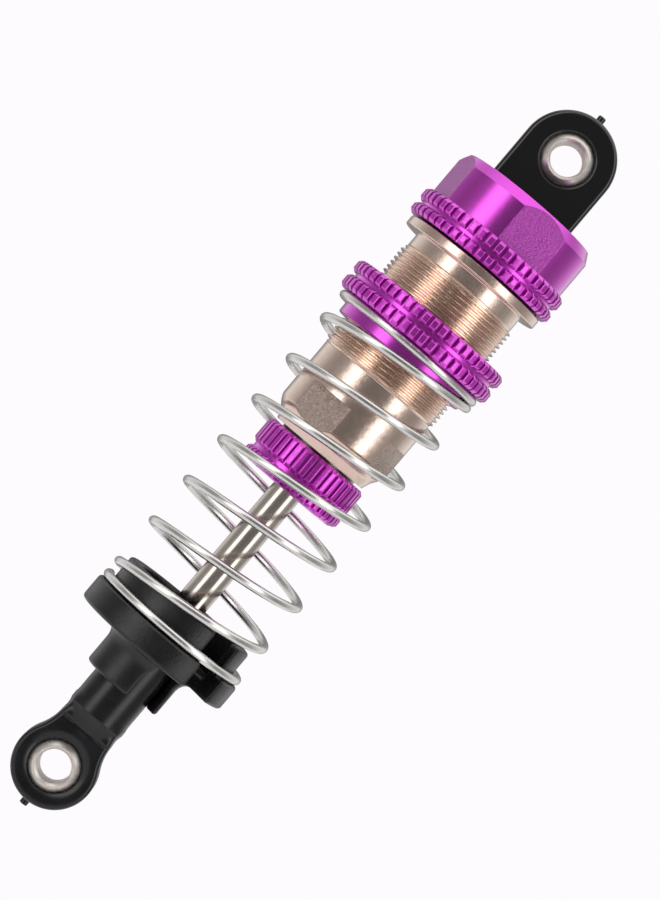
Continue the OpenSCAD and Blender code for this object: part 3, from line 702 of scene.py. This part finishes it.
def ball_steel():
    # Turned and tumbled steel ball: a soft satin sheen, with faint rings about its bore.
    return steel("turned ball steel", dye("ball"), 0.34, 0.44, (1, 0.4, 1), 0.3, 0.002)


def clip_steel():
    # Stamped spring clip: greyer, with a rolled grain.
    return steel("stamped clip steel", linear("#A8A6A2"), 0.28, 0.42, (0.3, 1, 1), 0.2, 0.002)


def plain_solid(name, colour, worn, rough_low, rough_high, grain_size, grain, extra):
    """Plastic or rubber: an even colour with faint cloudiness, and a moulded or machined grain."""
    material, tree, known = new_material(name)
    plant(tree, known, [
        ("grain", NOISE, {}, {"Vector": "coords.Object", "Scale": per_mm(grain_size), "Detail": 4.0,
                              "Roughness": 0.6}),
        ("cloud", NOISE, {}, {"Vector": "coords.Object", "Scale": per_mm(2.5), "Detail": 3.0}),
        ("share", RANGE, {}, {"Value": "cloud", "From Min": 0.35, "From Max": 0.75}),
        ("colour", MIX, {"data_type": "RGBA"}, {0: "share", 6: colour, 7: linear(worn)}),
        ("rough", RANGE, {}, {"Value": "cloud", "From Min": 0.3, "From Max": 0.7,
                                             "To Min": rough_low, "To Max": rough_high}),
        ("bump", BUMP, {}, {"Strength": 1.0, "Distance": grain * MM, "Height": "grain"}),
    ])
    set_surface(tree, known, extra, {"Base Color": "colour.2", "Roughness": "rough", "Normal": "bump"})
    return material


def glossy_nylon():
    # Black nylon from a polished mould: nearly black, with thin bright lines along its edges.
    return plain_solid("polished black nylon", dye("nylon"), "#0B0C0D", 0.08, 0.16,
                       0.9, 0.004, {"IOR": 1.53})


def satin_nylon():
    # Black nylon from a stoned mould: dark and quiet, with a soft gloss on its edges.
    return plain_solid("satin black nylon", dye("nylon"), "#0F1013", 0.2, 0.3,
                       0.35, 0.005, {"IOR": 1.53, "Specular IOR Level": 0.35})


def textured_nylon():
    # Black nylon from a spark-eroded mould: a fine pebbled surface whose pits hold back its gloss.
    return plain_solid("textured black nylon", dye("nylon"), "#111216", 0.26, 0.38,
                       0.24, 0.03, {"IOR": 1.53, "Specular IOR Level": 0.4})


def black_rubber():
    # Nitrile rubber: dull black with a faint bloom.
    return plain_solid("black nitrile rubber", linear("#121212"), "#1E1E1D", 0.5, 0.65, 0.3, 0.004, {"IOR": 1.52})


def red_silicone():
    # Silicone shaft seal: translucent red with a soft gloss.
    return plain_solid("red silicone rubber", linear("#A01D12"), "#B3301F", 0.35, 0.45, 0.4, 0.002,
                       {"IOR": 1.43, "Subsurface Weight": 0.2, "Subsurface Scale": 0.0004})


def white_acetal():
    # Machined acetal: waxy white with turning marks.
    return plain_solid("machined white acetal", linear("#E4E2DA"), "#EDEBE4", 0.3, 0.4, 0.15, 0.002,
                       {"IOR": 1.48, "Subsurface Weight": 0.1, "Subsurface Scale": 0.0005})


FINISHES = {
    "purple_anodised": purple_anodised,
    "purple_knurled": purple_knurled,
    "champagne_anodised": champagne_anodised,
    "black_nylon": glossy_nylon,
    "satin_nylon": satin_nylon,
    "textured_nylon": textured_nylon,
    "ball_steel": ball_steel,
    "rod_steel": rod_steel,
    "spring_steel": spring_steel,
    "clip_steel": clip_steel,
    "black_rubber": black_rubber,
    "red_silicone": red_silicone,
    "white_acetal": white_acetal,
}


def finish(name):
    """The material of that name, made the first time it is asked for."""
    if name not in SHARED:
        SHARED[name] = FINISHES[name]()
    return SHARED[name]


def paint(piece, name):
    """Gives a piece one material."""
    piece.data.materials.clear()
    piece.data.materials.append(finish(name))


def stand_in(piece, node):
    """Makes a piece ride on its CAD node's body and stand in for that node, which it hides."""
    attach(piece, next(body for body, nodes in BODIES.items() if node in nodes))
    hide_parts(node)


# ---------------------------------------------------------------- settings


def length(label, description, millimetres):
    """Length property whose default is in millimetres."""
    return bpy.props.FloatProperty(name=label, description=description, default=millimetres * MM, unit="LENGTH",
                                   precision=5)


def hue(label, description, colour):
    """Colour property whose default is an sRGB hex value."""
    return bpy.props.FloatVectorProperty(name=label, description=description, default=linear(colour), size=4,
                                         subtype="COLOR", min=0, max=1)


class DamperSizes(bpy.types.PropertyGroup):
    """Sizes of the details that the frame doesn't give."""

    cap_notches: bpy.props.IntProperty(
        name="Cap notches", description="Notches around the cap's two rings", default=50)
    nut_notches: bpy.props.IntProperty(
        name="Nut notches", description="Notches around the nut's two rings", default=54)
    seal_notches: bpy.props.IntProperty(
        name="Seal cap notches", description="Notches around the seal cap", default=44)
    notch_depth: length("Notch depth", "Depth of the cap's and the nut's notches", 0.42)
    seal_notch_depth: length("Seal cap notch depth", "Depth of the seal cap's notches", 0.3)
    thread_pitch: length("Thread pitch", "Pitch of the long thread", 0.5)
    thread_depth: length("Thread depth", "Depth of the long thread", 0.35)
    wire_diameter: length("Wire diameter", "Diameter of the spring's wire", 0.85)
    spring_turns: bpy.props.FloatProperty(
        name="Spring turns", description="Turns of wire from end to end", default=8.6)
    spring_start: bpy.props.FloatProperty(
        name="Spring start", description="Direction of the wire's lower end about Z", default=math.radians(170),
        subtype="ANGLE")
    slot_direction: bpy.props.FloatProperty(
        name="Slot direction", description="Direction of the spring cup's slot about Z", default=math.radians(-46),
        subtype="ANGLE")
    moulded_edge: length("Moulded edge", "Rounding along the edges of the moulded eyes", 0.5)


class DamperColours(bpy.types.PropertyGroup):
    """Colours of the finishes."""

    purple_deep: hue("Purple, deep", "Violet dye where it lies thickest", "#C32EBD")
    purple_light: hue("Purple, light", "Violet dye where it lies thinnest", "#CE3AC8")
    champagne_deep: hue("Champagne, deep", "Warm dye where it lies thickest", "#CDB1A2")
    champagne_light: hue("Champagne, light", "Warm dye where it lies thinnest", "#DAC5B7")
    champagne_thread: hue("Champagne, thread", "Warm dye on the long thread", "#E2CAB9")
    steel: hue("Steel", "Bare steel of the rod", "#C9C0B6")
    ball: hue("Ball steel", "Bare steel of the pivot balls", "#EAE3DB")
    wire: hue("Wire", "Nickel plating of the spring", "#D2D1CD")
    nylon: hue("Nylon", "Moulded black nylon", "#0B0B0C")


# ---------------------------------------------------------------- pieces


def sizes():
    """The sizes that are set in the panel."""
    return bpy.context.scene.damper_sizes


def ring_corners(out, low, high, edge, crisp=0.04):
    """Outline corners up the outside of a ring with chamfered edges, each corner a little rounded."""
    return [(out - edge, low, crisp), (out, low + edge, crisp), (out, high - edge, crisp), (out - edge, high, crisp)]


def notched(piece, count, out, depth):
    """Knurls what reaches past the notches' floor, and makes the turned piece a plain mesh."""
    shape(piece, knurl_tree, {"Notches": float(count), "Outer Radius": out * MM, "Depth": depth, "Width": 0.42,
                              "Rim Radius": out * MM - depth - 0.05 * MM, "Material": finish("purple_anodised"),
                              "Rim Material": finish("purple_knurled")})
    bake(piece, 25)


class DAMPER_OT_screw_cap(bpy.types.Operator):
    """Turn the screw cap, mill its four flats and knurl its two rings"""

    bl_idname = "damper.screw_cap"
    bl_label = "Screw cap"

    def execute(self, context):
        low, high, out = CAP_LOW, CAP_HIGH, radius("screw_cap")
        wall, ring_top = CAP_WALL, CAP_RING_TOP
        hole, cavity = rim("screw_cap", high, min), radius("upper_eyelet") + 0.1
        outline = divided(rounded(
            [(cavity + 0.75, low, 0)] + ring_corners(out, low, low + 1.1, 0.3)
            + [(out - 0.55, low + 1.1, 0), (out - 0.55, low + 1.4, 0)] + ring_corners(out, low + 1.4, ring_top, 0.3)
            + [(wall, ring_top, 0), (wall, ring_top + 0.01, 0), (wall, high - 1, 0.05), (wall - 0.55, high, 0.05),
               (hole, high, 0.1), (hole, high - 1.3, 0), (cavity, high - 1.3, 0), (cavity, low + 0.7, 0),
               (cavity + 0.75, low + 0.7, 0)]), 0.07, high - 1.05, high)
        piece = link_object("turned_screw_cap", lathe("turned_screw_cap", outline, sizes().cap_notches * 16))
        shape(piece, flats_tree, {"Count": 4.0, "Distance": (wall - CAP_FLAT_DEPTH) * MM,
                                  "Direction": CAP_FLAT_DIRECTION, "Low": (ring_top + 0.005) * MM,
                                  "High": (high + 1) * MM,
                                  "Material": finish("purple_anodised")})
        notched(piece, sizes().cap_notches, out, sizes().notch_depth)
        stand_in(piece, "screw_cap")
        return {"FINISHED"}


class DAMPER_OT_preload_nut(bpy.types.Operator):
    """Turn the preload nut and knurl its two rings"""

    bl_idname = "damper.preload_nut"
    bl_label = "Preload nut"

    def execute(self, context):
        low, high = heights("preload_nut")
        out = radius("preload_nut")
        boss, bore = rim("preload_nut", low + 0.2, max), rim("preload_nut", low, min)
        seat = SPRING_SEAT
        groove = seat + 1.375
        ring_low, ring_high = heights("preload_o_ring")
        outline = rounded(
            [(bore, low, 0), (boss, low, 0.2), (boss, seat, 0)] + ring_corners(out, seat, groove, 0.3)
            + [(out - 0.6, groove, 0), (out - 0.6, groove + 0.35, 0)] + ring_corners(out, groove + 0.35, high, 0.3)
            + [(bore + 0.3, high, 0), (bore, high - 0.3, 0), (bore, ring_high + 0.07, 0),
               (radius("preload_o_ring") + 0.07, ring_high + 0.07, 0),
               (radius("preload_o_ring") + 0.07, ring_low - 0.07, 0), (bore, ring_low - 0.07, 0)])
        piece = link_object("turned_preload_nut", lathe("turned_preload_nut", outline, sizes().nut_notches * 16))
        notched(piece, sizes().nut_notches, out, sizes().notch_depth)
        stand_in(piece, "preload_nut")
        return {"FINISHED"}


class DAMPER_OT_seal_cap(bpy.types.Operator):
    """Turn the seal cap and knurl its two rings"""

    bl_idname = "damper.seal_cap"
    bl_label = "Seal cap"

    def execute(self, context):
        low, mouth = heights("seal_cap")
        seam = 0.18
        high = mouth - seam
        out = radius("seal_cap")
        hole, pocket = rim("seal_cap", low, min), rim("seal_cap", mouth, min)
        floor = heights("damper_body")[0] - 0.02
        groove = high - 2.7
        outline = rounded(
            [(hole, low, 0.1), (out - 0.7, low, 0.1), (out - 0.4, low + 0.15, 0)]
            + ring_corners(out, low + 0.15, groove - 0.4, 0.3) + [(out - 0.42, groove - 0.4, 0),
                                                                   (out - 0.42, groove, 0)]
            + ring_corners(out, groove, high, 0.35)
            + [(pocket, high, 0.1), (pocket, floor, 0), (hole, floor, 0)])
        piece = link_object("turned_seal_cap", lathe("turned_seal_cap", outline, sizes().seal_notches * 16))
        notched(piece, sizes().seal_notches, out, sizes().seal_notch_depth)
        stand_in(piece, "seal_cap")
        return {"FINISHED"}


class DAMPER_OT_cylinder(bpy.types.Operator):
    """Turn the oil cylinder, mill its two flats and cut its long thread"""

    bl_idname = "damper.cylinder"
    bl_label = "Oil cylinder"

    def execute(self, context):
        low, high = heights("damper_body")
        out, plain = radius("damper_body"), CYLINDER_WALL
        thread_low, thread_top = THREAD
        shoulder, flat_top = CYLINDER_SHOULDER, CYLINDER_FLAT_TOP
        root = plain - 0.05
        bore, cap_thread = rim("damper_body", high, min), rim("damper_body", high, max) + 0.2
        nipple, pocket = rim("damper_body", low + 0.2, max), rim("damper_body", low, min)
        web_top, web_low = shoulder + 2, shoulder + 1.3
        rod_hole = rim("damper_body", web_top, min)
        undercut = 0.3
        outline = rounded([
            (pocket, low, 0), (nipple, low, 0.2), (nipple, shoulder - undercut, 0),
            (nipple - undercut, shoulder - undercut, 0), (nipple - undercut, shoulder, 0),
            (plain - 1.1, shoulder, 0.03),
            (plain - 0.75, shoulder + 0.9, 1), (plain - 0.28, shoulder + 1.55, 1), (plain, shoulder + 2.1, 1),
            (plain, flat_top - 0.005, 0), (plain, flat_top + 0.005, 0), (plain, thread_low, 0), (root, thread_low, 0),
            (root, thread_top, 0), (plain, thread_top, 0), (plain, FLANGE_LOW, 0.15), (out, FLANGE_LOW, 0.15),
            (out, FLANGE_TOP, 0.15), (cap_thread, FLANGE_TOP, 0.1), (cap_thread, high, 0.2), (bore, high, 0),
            (bore, web_top, 0), (rod_hole, web_top, 0), (rod_hole, web_low, 0), (pocket, web_low, 0)])
        pitch = sizes().thread_pitch
        outline = divided(outline, pitch / MM / 12, thread_low, thread_top)
        outline = divided(outline, 0.15, shoulder, flat_top + 0.1)
        piece = link_object("threaded_cylinder", lathe("threaded_cylinder", outline, 192))
        dyed = finish("champagne_anodised")
        shape(piece, flats_tree, {"Count": 2.0, "Distance": (plain - CYLINDER_FLAT_DEPTH) * MM,
                                  "Direction": CYLINDER_FLAT_DIRECTION, "Low": (shoulder - 0.1) * MM,
                                  "High": flat_top * MM, "Material": dyed})
        shape(piece, thread_tree, {"Pitch": pitch, "Depth": sizes().thread_depth, "Low": thread_low * MM,
                                   "High": thread_top * MM, "Inside Radius": (bore + 0.4) * MM,
                                   "Material": dyed})
        bake(piece, 35)
        stand_in(piece, "damper_body")
        return {"FINISHED"}


class DAMPER_OT_spring(bpy.types.Operator):
    """Wind the spring between its two seats"""

    bl_idname = "damper.spring"
    bl_label = "Spring"

    def execute(self, context):
        low, high = heights("spring")
        wire = sizes().wire_diameter / 2
        coil = radius("spring") * MM - wire
        count = round(sizes().spring_turns * 64)
        mesh = bpy.data.meshes.new("wound_spring")
        mesh.from_pydata([(i / count, 0, 0) for i in range(count + 1)], [(i, i + 1) for i in range(count)], [])
        piece = link_object("wound_spring", mesh)
        flat, ramp, top_flat, top_ramp = 0.4, 0.65, 0.55, 0.9  # turns at each end
        rise = (high - low) * MM - 2 * wire
        pitch = rise / (sizes().spring_turns - flat - top_flat - (ramp + top_ramp) / 2)
        shape(piece, wire_tree, {"Coil Radius": coil, "Wire Radius": wire, "Turns": sizes().spring_turns,
                                 "Pitch": pitch, "Flat Turns": flat, "Ramp Turns": ramp,
                                 "Top Flat Turns": top_flat, "Top Ramp Turns": top_ramp, "Low": low * MM + wire,
                                 "High": high * MM - wire, "Start": sizes().spring_start,
                                 "Material": finish("spring_steel")})
        bake(piece, 50)
        stand_in(piece, "spring")
        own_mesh(piece)
        return {"FINISHED"}


def turned_ball(name, node, eye):
    """Ball with flat ends and a chamfered bore along Y."""
    half = thickness(node) / 2
    bore = frame["record"]["mounts"][0]["dims"]["r_mm"]
    end = math.sqrt(BALL_RADIUS ** 2 - half ** 2)
    top = math.asin(half / BALL_RADIUS)
    arc = [(BALL_RADIUS * math.cos(a), BALL_RADIUS * math.sin(a)) for a in np.linspace(-top, top, 40)]
    outline = rounded([(bore, -half + 0.25, 0), (bore + 0.25, -half, 0.05), (end - 0.03, -half, 0)]) + arc + rounded(
        [(end - 0.03, half, 0), (bore + 0.25, half, 0.05), (bore, half - 0.25, 0)])
    mesh = lathe(name, outline, 128)
    mesh.transform(Matrix.Translation((0, 0, eye * MM)) @ Matrix.Rotation(-math.pi / 2, 4, "X"))
    shade(mesh, 30)
    piece = link_object(name, mesh)
    paint(piece, SLOTS[node])
    stand_in(piece, node)


class DAMPER_OT_balls(bpy.types.Operator):
    """Turn the pivot balls of both eyes"""

    bl_idname = "damper.balls"
    bl_label = "Pivot balls"

    def execute(self, context):
        turned_ball("turned_upper_ball", "upper_ball", UPPER_EYE)
        turned_ball("turned_lower_ball", "lower_ball", LOWER_EYE)
        return {"FINISHED"}


class DAMPER_OT_rod(bpy.types.Operator):
    """Grind the piston rod and cut its clip grooves"""

    bl_idname = "damper.rod"
    bl_label = "Piston rod"

    def execute(self, context):
        low, high = heights("shaft")
        out = radius("shaft")
        step = heights("rod_end")[1] + 0.02
        outline = [(0, low, 0), (out - 0.2, low, 0.2), (out - 0.2, step, 0), (out, step, 0.05)]
        for clip in ("lower_e_clip", "upper_e_clip"):
            clip_low, clip_high = heights(clip)
            outline += [(out, clip_low - 0.01, 0), (out - 0.35, clip_low - 0.01, 0),
                        (out - 0.35, clip_high + 0.01, 0),
                        (out, clip_high + 0.01, 0)]
        outline += [(out, high, 0.2), (0, high, 0)]
        mesh = lathe("ground_rod", rounded(outline), 96)
        shade(mesh, 30)
        piece = link_object("ground_rod", mesh)
        paint(piece, "rod_steel")
        stand_in(piece, "shaft")
        return {"FINISHED"}


def moulded(name, node, field, low, high, step, finish_name):
    """Piece skinned from a distance field that is given in millimetres."""
    mesh = skin(name, field, low, high, step)
    shade(mesh, 55)
    piece = link_object(name, mesh)
    paint(piece, finish_name)
    stand_in(piece, node)


class DAMPER_OT_upper_eyelet(bpy.types.Operator):
    """Mould the tongue that holds the upper ball"""

    bl_idname = "damper.upper_eyelet"
    bl_label = "Upper eyelet"

    def execute(self, context):
        low, high = heights("upper_eyelet")
        out = BALL_RADIUS + 1.75
        thick = 3.6
        base = low + 1.3
        disc, neck = radius("upper_eyelet"), rim("screw_cap", heights("screw_cap")[1], min) - 0.1
        edge = sizes().moulded_edge / MM

        def field(x, y, z):
            tongue = drawn(np.maximum(np.hypot(x, np.maximum(z, 0)) - out, base - z), y, thick / 2, edge)
            foot = np.minimum(drum(x, y, z, neck, base - 0.5, base + 1.2, 0.15),
                              drum(x, y, z, disc, low, base, 0.1))
            solid = blend(tongue, foot, 0.25)
            gate = drawn(np.hypot(x, y) - 0.4, z - (high + out) / 2, (high - out) / 2 + 0.15, 0.08)
            solid = blend(solid, gate, 0.15)
            solid = cut(solid, drum(x, y, z, bore_radius() - 0.8, low - 1, low + 0.8, 0), 0.1)
            return cut(solid, socket(x, y, z, thick, 0.03, 0.25, 0.2), 0.1)

        moulded("moulded_upper_eyelet", "upper_eyelet", field, (-disc, -disc, low), (disc, disc, high), 0.13,
                "black_nylon")
        return {"FINISHED"}


class DAMPER_OT_rod_end(bpy.types.Operator):
    """Mould the rod end that holds the lower ball"""

    bl_idname = "damper.rod_end"
    bl_label = "Rod end"

    def execute(self, context):
        low, high = heights("rod_end")
        ring, thick, flare = BALL_RADIUS + 1.2, 3.8, 5
        stem = radius_between("rod_end", high - 1, high - 0.2)
        flare_x = stem + flare
        flare_z = math.sqrt((ring + flare) ** 2 - flare_x ** 2)
        stem_low, shoulder = LOWER_EYE + 5.9, 1.8
        bore = radius("shaft") - 0.195
        bore_low = heights("shaft")[0] - 0.02
        edge = sizes().moulded_edge / MM

        def field(x, y, z):
            up = z - LOWER_EYE
            side = abs(x)
            ring_flat = np.hypot(x, up) - ring
            below = (side * flare_z - up * flare_x) / (ring + flare)
            neck_flat = np.maximum(flare - np.hypot(side - flare_x, up - flare_z),
                                   np.maximum(below, up - flare_z))
            bar_flat = np.maximum(side - stem, np.maximum(flare_z - 0.3 - up, z - stem_low - 0.5))
            outline = np.minimum(np.minimum(ring_flat, neck_flat), bar_flat)
            r = np.hypot(x, y)
            taper = stem + np.maximum(stem_low - z, 0) * 0.4 - r
            plate = cut(drawn(outline, y, thick / 2, edge), taper, 0.8)
            cone_end = thick / 2 - 0.4
            cone = (r - stem - (z - stem_low) * (stem - cone_end) / shoulder) * shoulder / math.hypot(
                shoulder, stem - cone_end)
            post = np.maximum(drum(x, y, z, stem, stem_low - shoulder, high, 0.3), cone)
            solid = blend(plate, post, 0.6)
            gate = drawn(np.hypot(x, y) - 0.4, z - (low + LOWER_EYE - ring) / 2,
                         (LOWER_EYE - ring - low) / 2 + 0.15, 0.08)
            solid = blend(solid, gate, 0.15)
            solid = cut(solid, drum(x, y, z, bore, bore_low, high + 1, 0), 0.1)
            return cut(solid, socket(x, y, up, thick, 0.05, 0.3, 0.5), 0.25)

        moulded("moulded_rod_end", "rod_end", field, (-ring, -stem, low), (ring, stem, high), 0.1, "satin_nylon")
        return {"FINISHED"}


class DAMPER_OT_spring_cup(bpy.types.Operator):
    """Mould the slotted cup that the spring stands on"""

    bl_idname = "damper.spring_cup"
    bl_label = "Spring cup"

    def execute(self, context):
        low, high = heights("spring_cup")
        out = radius_between("spring_cup", low, high)
        ledge = heights("rod_end")[1] + 0.02
        seat, under, floor = ledge + 2.2, ledge - 0.4, ledge + 1
        boss, boss_wall, collar_in = out - 1.15, 1.2, radius_between("rod_end", ledge - 1, ledge - 0.2) + 0.1
        collar = collar_in + 1.05
        rod_hole = radius("shaft") + 0.2
        slot, arch, arch_top = rod_hole * 2, 4.1, under - 0.2
        cosine, sine = math.cos(sizes().slot_direction), math.sin(sizes().slot_direction)

        def field(x, y, z):
            solid = blend(drum(x, y, z, out, under, seat, 0.35), drum(x, y, z, collar, low, under + 0.5, 0.3), 1.5)
            solid = blend(solid, drum(x, y, z, boss, seat - 1, high, 0.3), 0.15)
            solid = cut(solid, drum(x, y, z, boss - boss_wall, floor, high + 1, 0.2), 0.2)
            solid = cut(solid, drum(x, y, z, collar_in, low - 1, ledge, 0), 0.15)
            solid = cut(solid, drum(x, y, z, rod_hole, low, high, 0), 0.1)
            along, across = x * cosine + y * sine, y * cosine - x * sine
            gap = np.maximum(abs(across) - slot / 2, -along)
            round_top = np.hypot(across, z - arch_top + arch / 2) - arch / 2
            doorway = np.maximum(np.minimum(np.maximum(abs(across) - arch / 2, z - arch_top + arch / 2), round_top),
                                 -along)
            return cut(solid, np.minimum(gap, doorway), 0.3)

        moulded("moulded_spring_cup", "spring_cup", field, (-out, -out, low), (out, out, high), 0.14,
                "textured_nylon")
        return {"FINISHED"}


class DAMPER_OT_inner_parts(bpy.types.Operator):
    """Give the seals, guides, piston and clips their finishes"""

    bl_idname = "damper.inner_parts"
    bl_label = "Inner parts"

    def execute(self, context):
        for name, node in frame["nodes"].items():
            if not node.hide_render:
                paint(node, SLOTS[name])
        return {"FINISHED"}


# ---------------------------------------------------------------- stage


# Brightness around the light tent, by degrees either way from the front
TENT = ((0, 0.2), (29, 0.25), (40, 2.6), (53, 2.6), (64, 0.5), (86, 0.34), (104, 0.45), (122, 0.8), (146, 1.0),
        (160, 0.35), (180, 0.25))


def grey(value):
    """Opaque neutral colour."""
    return [value, value, value, 1]


def world_light():
    """White backdrop for the eye, and for the object a light tent with tall strips at the sides."""
    world = bpy.data.worlds.new("light tent")
    bpy.context.scene.world = world
    world.use_nodes = True
    tree = world.node_tree
    tree.nodes.clear()
    known = {"coords": add(tree, "ShaderNodeTexCoord")}
    plant(tree, known, [
        ("turned", "ShaderNodeVectorRotate", {"rotation_type": "Z_AXIS"},
         {"Vector": "coords.Generated", "Angle": math.radians(-5)}),
        ("axes", "ShaderNodeSeparateXYZ", {}, {0: "turned"}),
        ("aside", MATH, {"operation": "ABSOLUTE"}, {0: "axes.X"}),
        ("ahead", MATH, {"operation": "MULTIPLY"}, {0: "axes.Y", 1: -1.0}),
        ("around", MATH, {"operation": "ARCTAN2"}, {0: "aside", 1: "ahead"}),
        ("share", MATH, {"operation": "DIVIDE"}, {0: "around", 1: math.pi}),
        ("ring", "ShaderNodeValToRGB", {}, {0: "share"}),
        ("up", RANGE, {"interpolation_type": "SMOOTHSTEP"},
         {"Value": "axes.Z", "From Min": 0.55, "From Max": 0.85}),
        ("down", RANGE, {"interpolation_type": "SMOOTHSTEP"},
         {"Value": "axes.Z", "From Min": -0.5, "From Max": -0.85}),
        ("with_top", MIX, {"data_type": "RGBA"}, {0: "up", 6: "ring.Color", 7: grey(1.5)}),
        ("tent_colour", MIX, {"data_type": "RGBA"}, {0: "down", 6: "with_top.2", 7: grey(0.5)}),
    ])
    ramp = known["ring"].color_ramp
    while len(ramp.elements) < len(TENT):
        ramp.elements.new(0.5)
    for element, (degrees, value) in zip(ramp.elements, TENT):
        element.position = degrees / 180
        element.color = grey(value)
    tent = add(tree, "ShaderNodeBackground", {}, {"Color": known["tent_colour"].outputs[2]})
    backdrop = add(tree, "ShaderNodeBackground", {}, {"Color": linear("#FEFBFE")})
    path = add(tree, "ShaderNodeLightPath")
    both = add(tree, "ShaderNodeMixShader", {},
               {0: path.outputs["Is Camera Ray"], 1: tent.outputs[0], 2: backdrop.outputs[0]})
    add(tree, "ShaderNodeOutputWorld", {}, {0: both.outputs[0]})


def pale_floor():
    """Pale matt floor, well below the object."""
    reach, drop = 0.3, -0.15
    mesh = bpy.data.meshes.new("floor")
    corners = [(reach * math.cos(a), reach * math.sin(a), drop) for a in np.linspace(0, TURN, 64, endpoint=False)]
    mesh.from_pydata(corners, [], [list(range(64))])
    floor = link_object("floor", mesh)
    floor.data.materials.append(
        plain_solid("matt paper", linear("#F2EFF2"), "#F7F5F7", 0.85, 0.95, 4, 0.01, {"IOR": 1.45}))


def studio_camera():
    """Camera level with the object's middle, rolled so that the object leans to the upper right."""
    data = bpy.data.cameras.new("camera")
    data.sensor_fit = "VERTICAL"
    data.sensor_height = 36
    data.lens = 138.17
    data.clip_start = 0.01
    camera = bpy.data.objects.new("camera", data)
    bpy.context.scene.collection.objects.link(camera)
    camera.matrix_world = (Matrix.Translation((0.00058, -0.32, -0.03455)) @ Matrix.Rotation(math.pi / 2, 4, "X")
                           @ Matrix.Rotation(math.radians(40.23), 4, "Z"))
    bpy.context.scene.camera = camera


class DAMPER_OT_stage(bpy.types.Operator):
    """Set up the floor, the light and the camera"""

    bl_idname = "damper.stage"
    bl_label = "Stage"

    def execute(self, context):
        context.scene.view_settings.view_transform = "Standard"
        world_light()
        pale_floor()
        studio_camera()
        return {"FINISHED"}


OPERATORS = (
    DAMPER_OT_screw_cap, DAMPER_OT_preload_nut, DAMPER_OT_seal_cap, DAMPER_OT_cylinder, DAMPER_OT_spring,
    DAMPER_OT_balls, DAMPER_OT_rod, DAMPER_OT_upper_eyelet, DAMPER_OT_rod_end, DAMPER_OT_spring_cup,
    DAMPER_OT_inner_parts, DAMPER_OT_stage,
)


class DAMPER_PT_panel(bpy.types.Panel):
    """Lists the settings and the operators"""

    bl_idname = "DAMPER_PT_panel"
    bl_label = "Coil-over damper"
    bl_space_type = "VIEW_3D"
    bl_region_type = "UI"
    bl_category = "Damper"

    def draw(self, context):
        for group in (context.scene.damper_sizes, context.scene.damper_colours):
            for name in group.__annotations__:
                self.layout.prop(group, name)
        for operator in OPERATORS:
            self.layout.operator(operator.bl_idname)


CLASSES = (DamperSizes, DamperColours) + OPERATORS + (DAMPER_PT_panel,)


def register():
    for item in CLASSES:
        bpy.utils.register_class(item)
    bpy.types.Scene.damper_sizes = bpy.props.PointerProperty(type=DamperSizes)
    bpy.types.Scene.damper_colours = bpy.props.PointerProperty(type=DamperColours)


def unregister():
    del bpy.types.Scene.damper_colours
    del bpy.types.Scene.damper_sizes
    for item in reversed(CLASSES):
        bpy.utils.unregister_class(item)


def main():
    register()
    for operator in OPERATORS:
        group, name = operator.bl_idname.split(".")
        getattr(getattr(bpy.ops, group), name)()


if __name__ == "__main__":
    main()
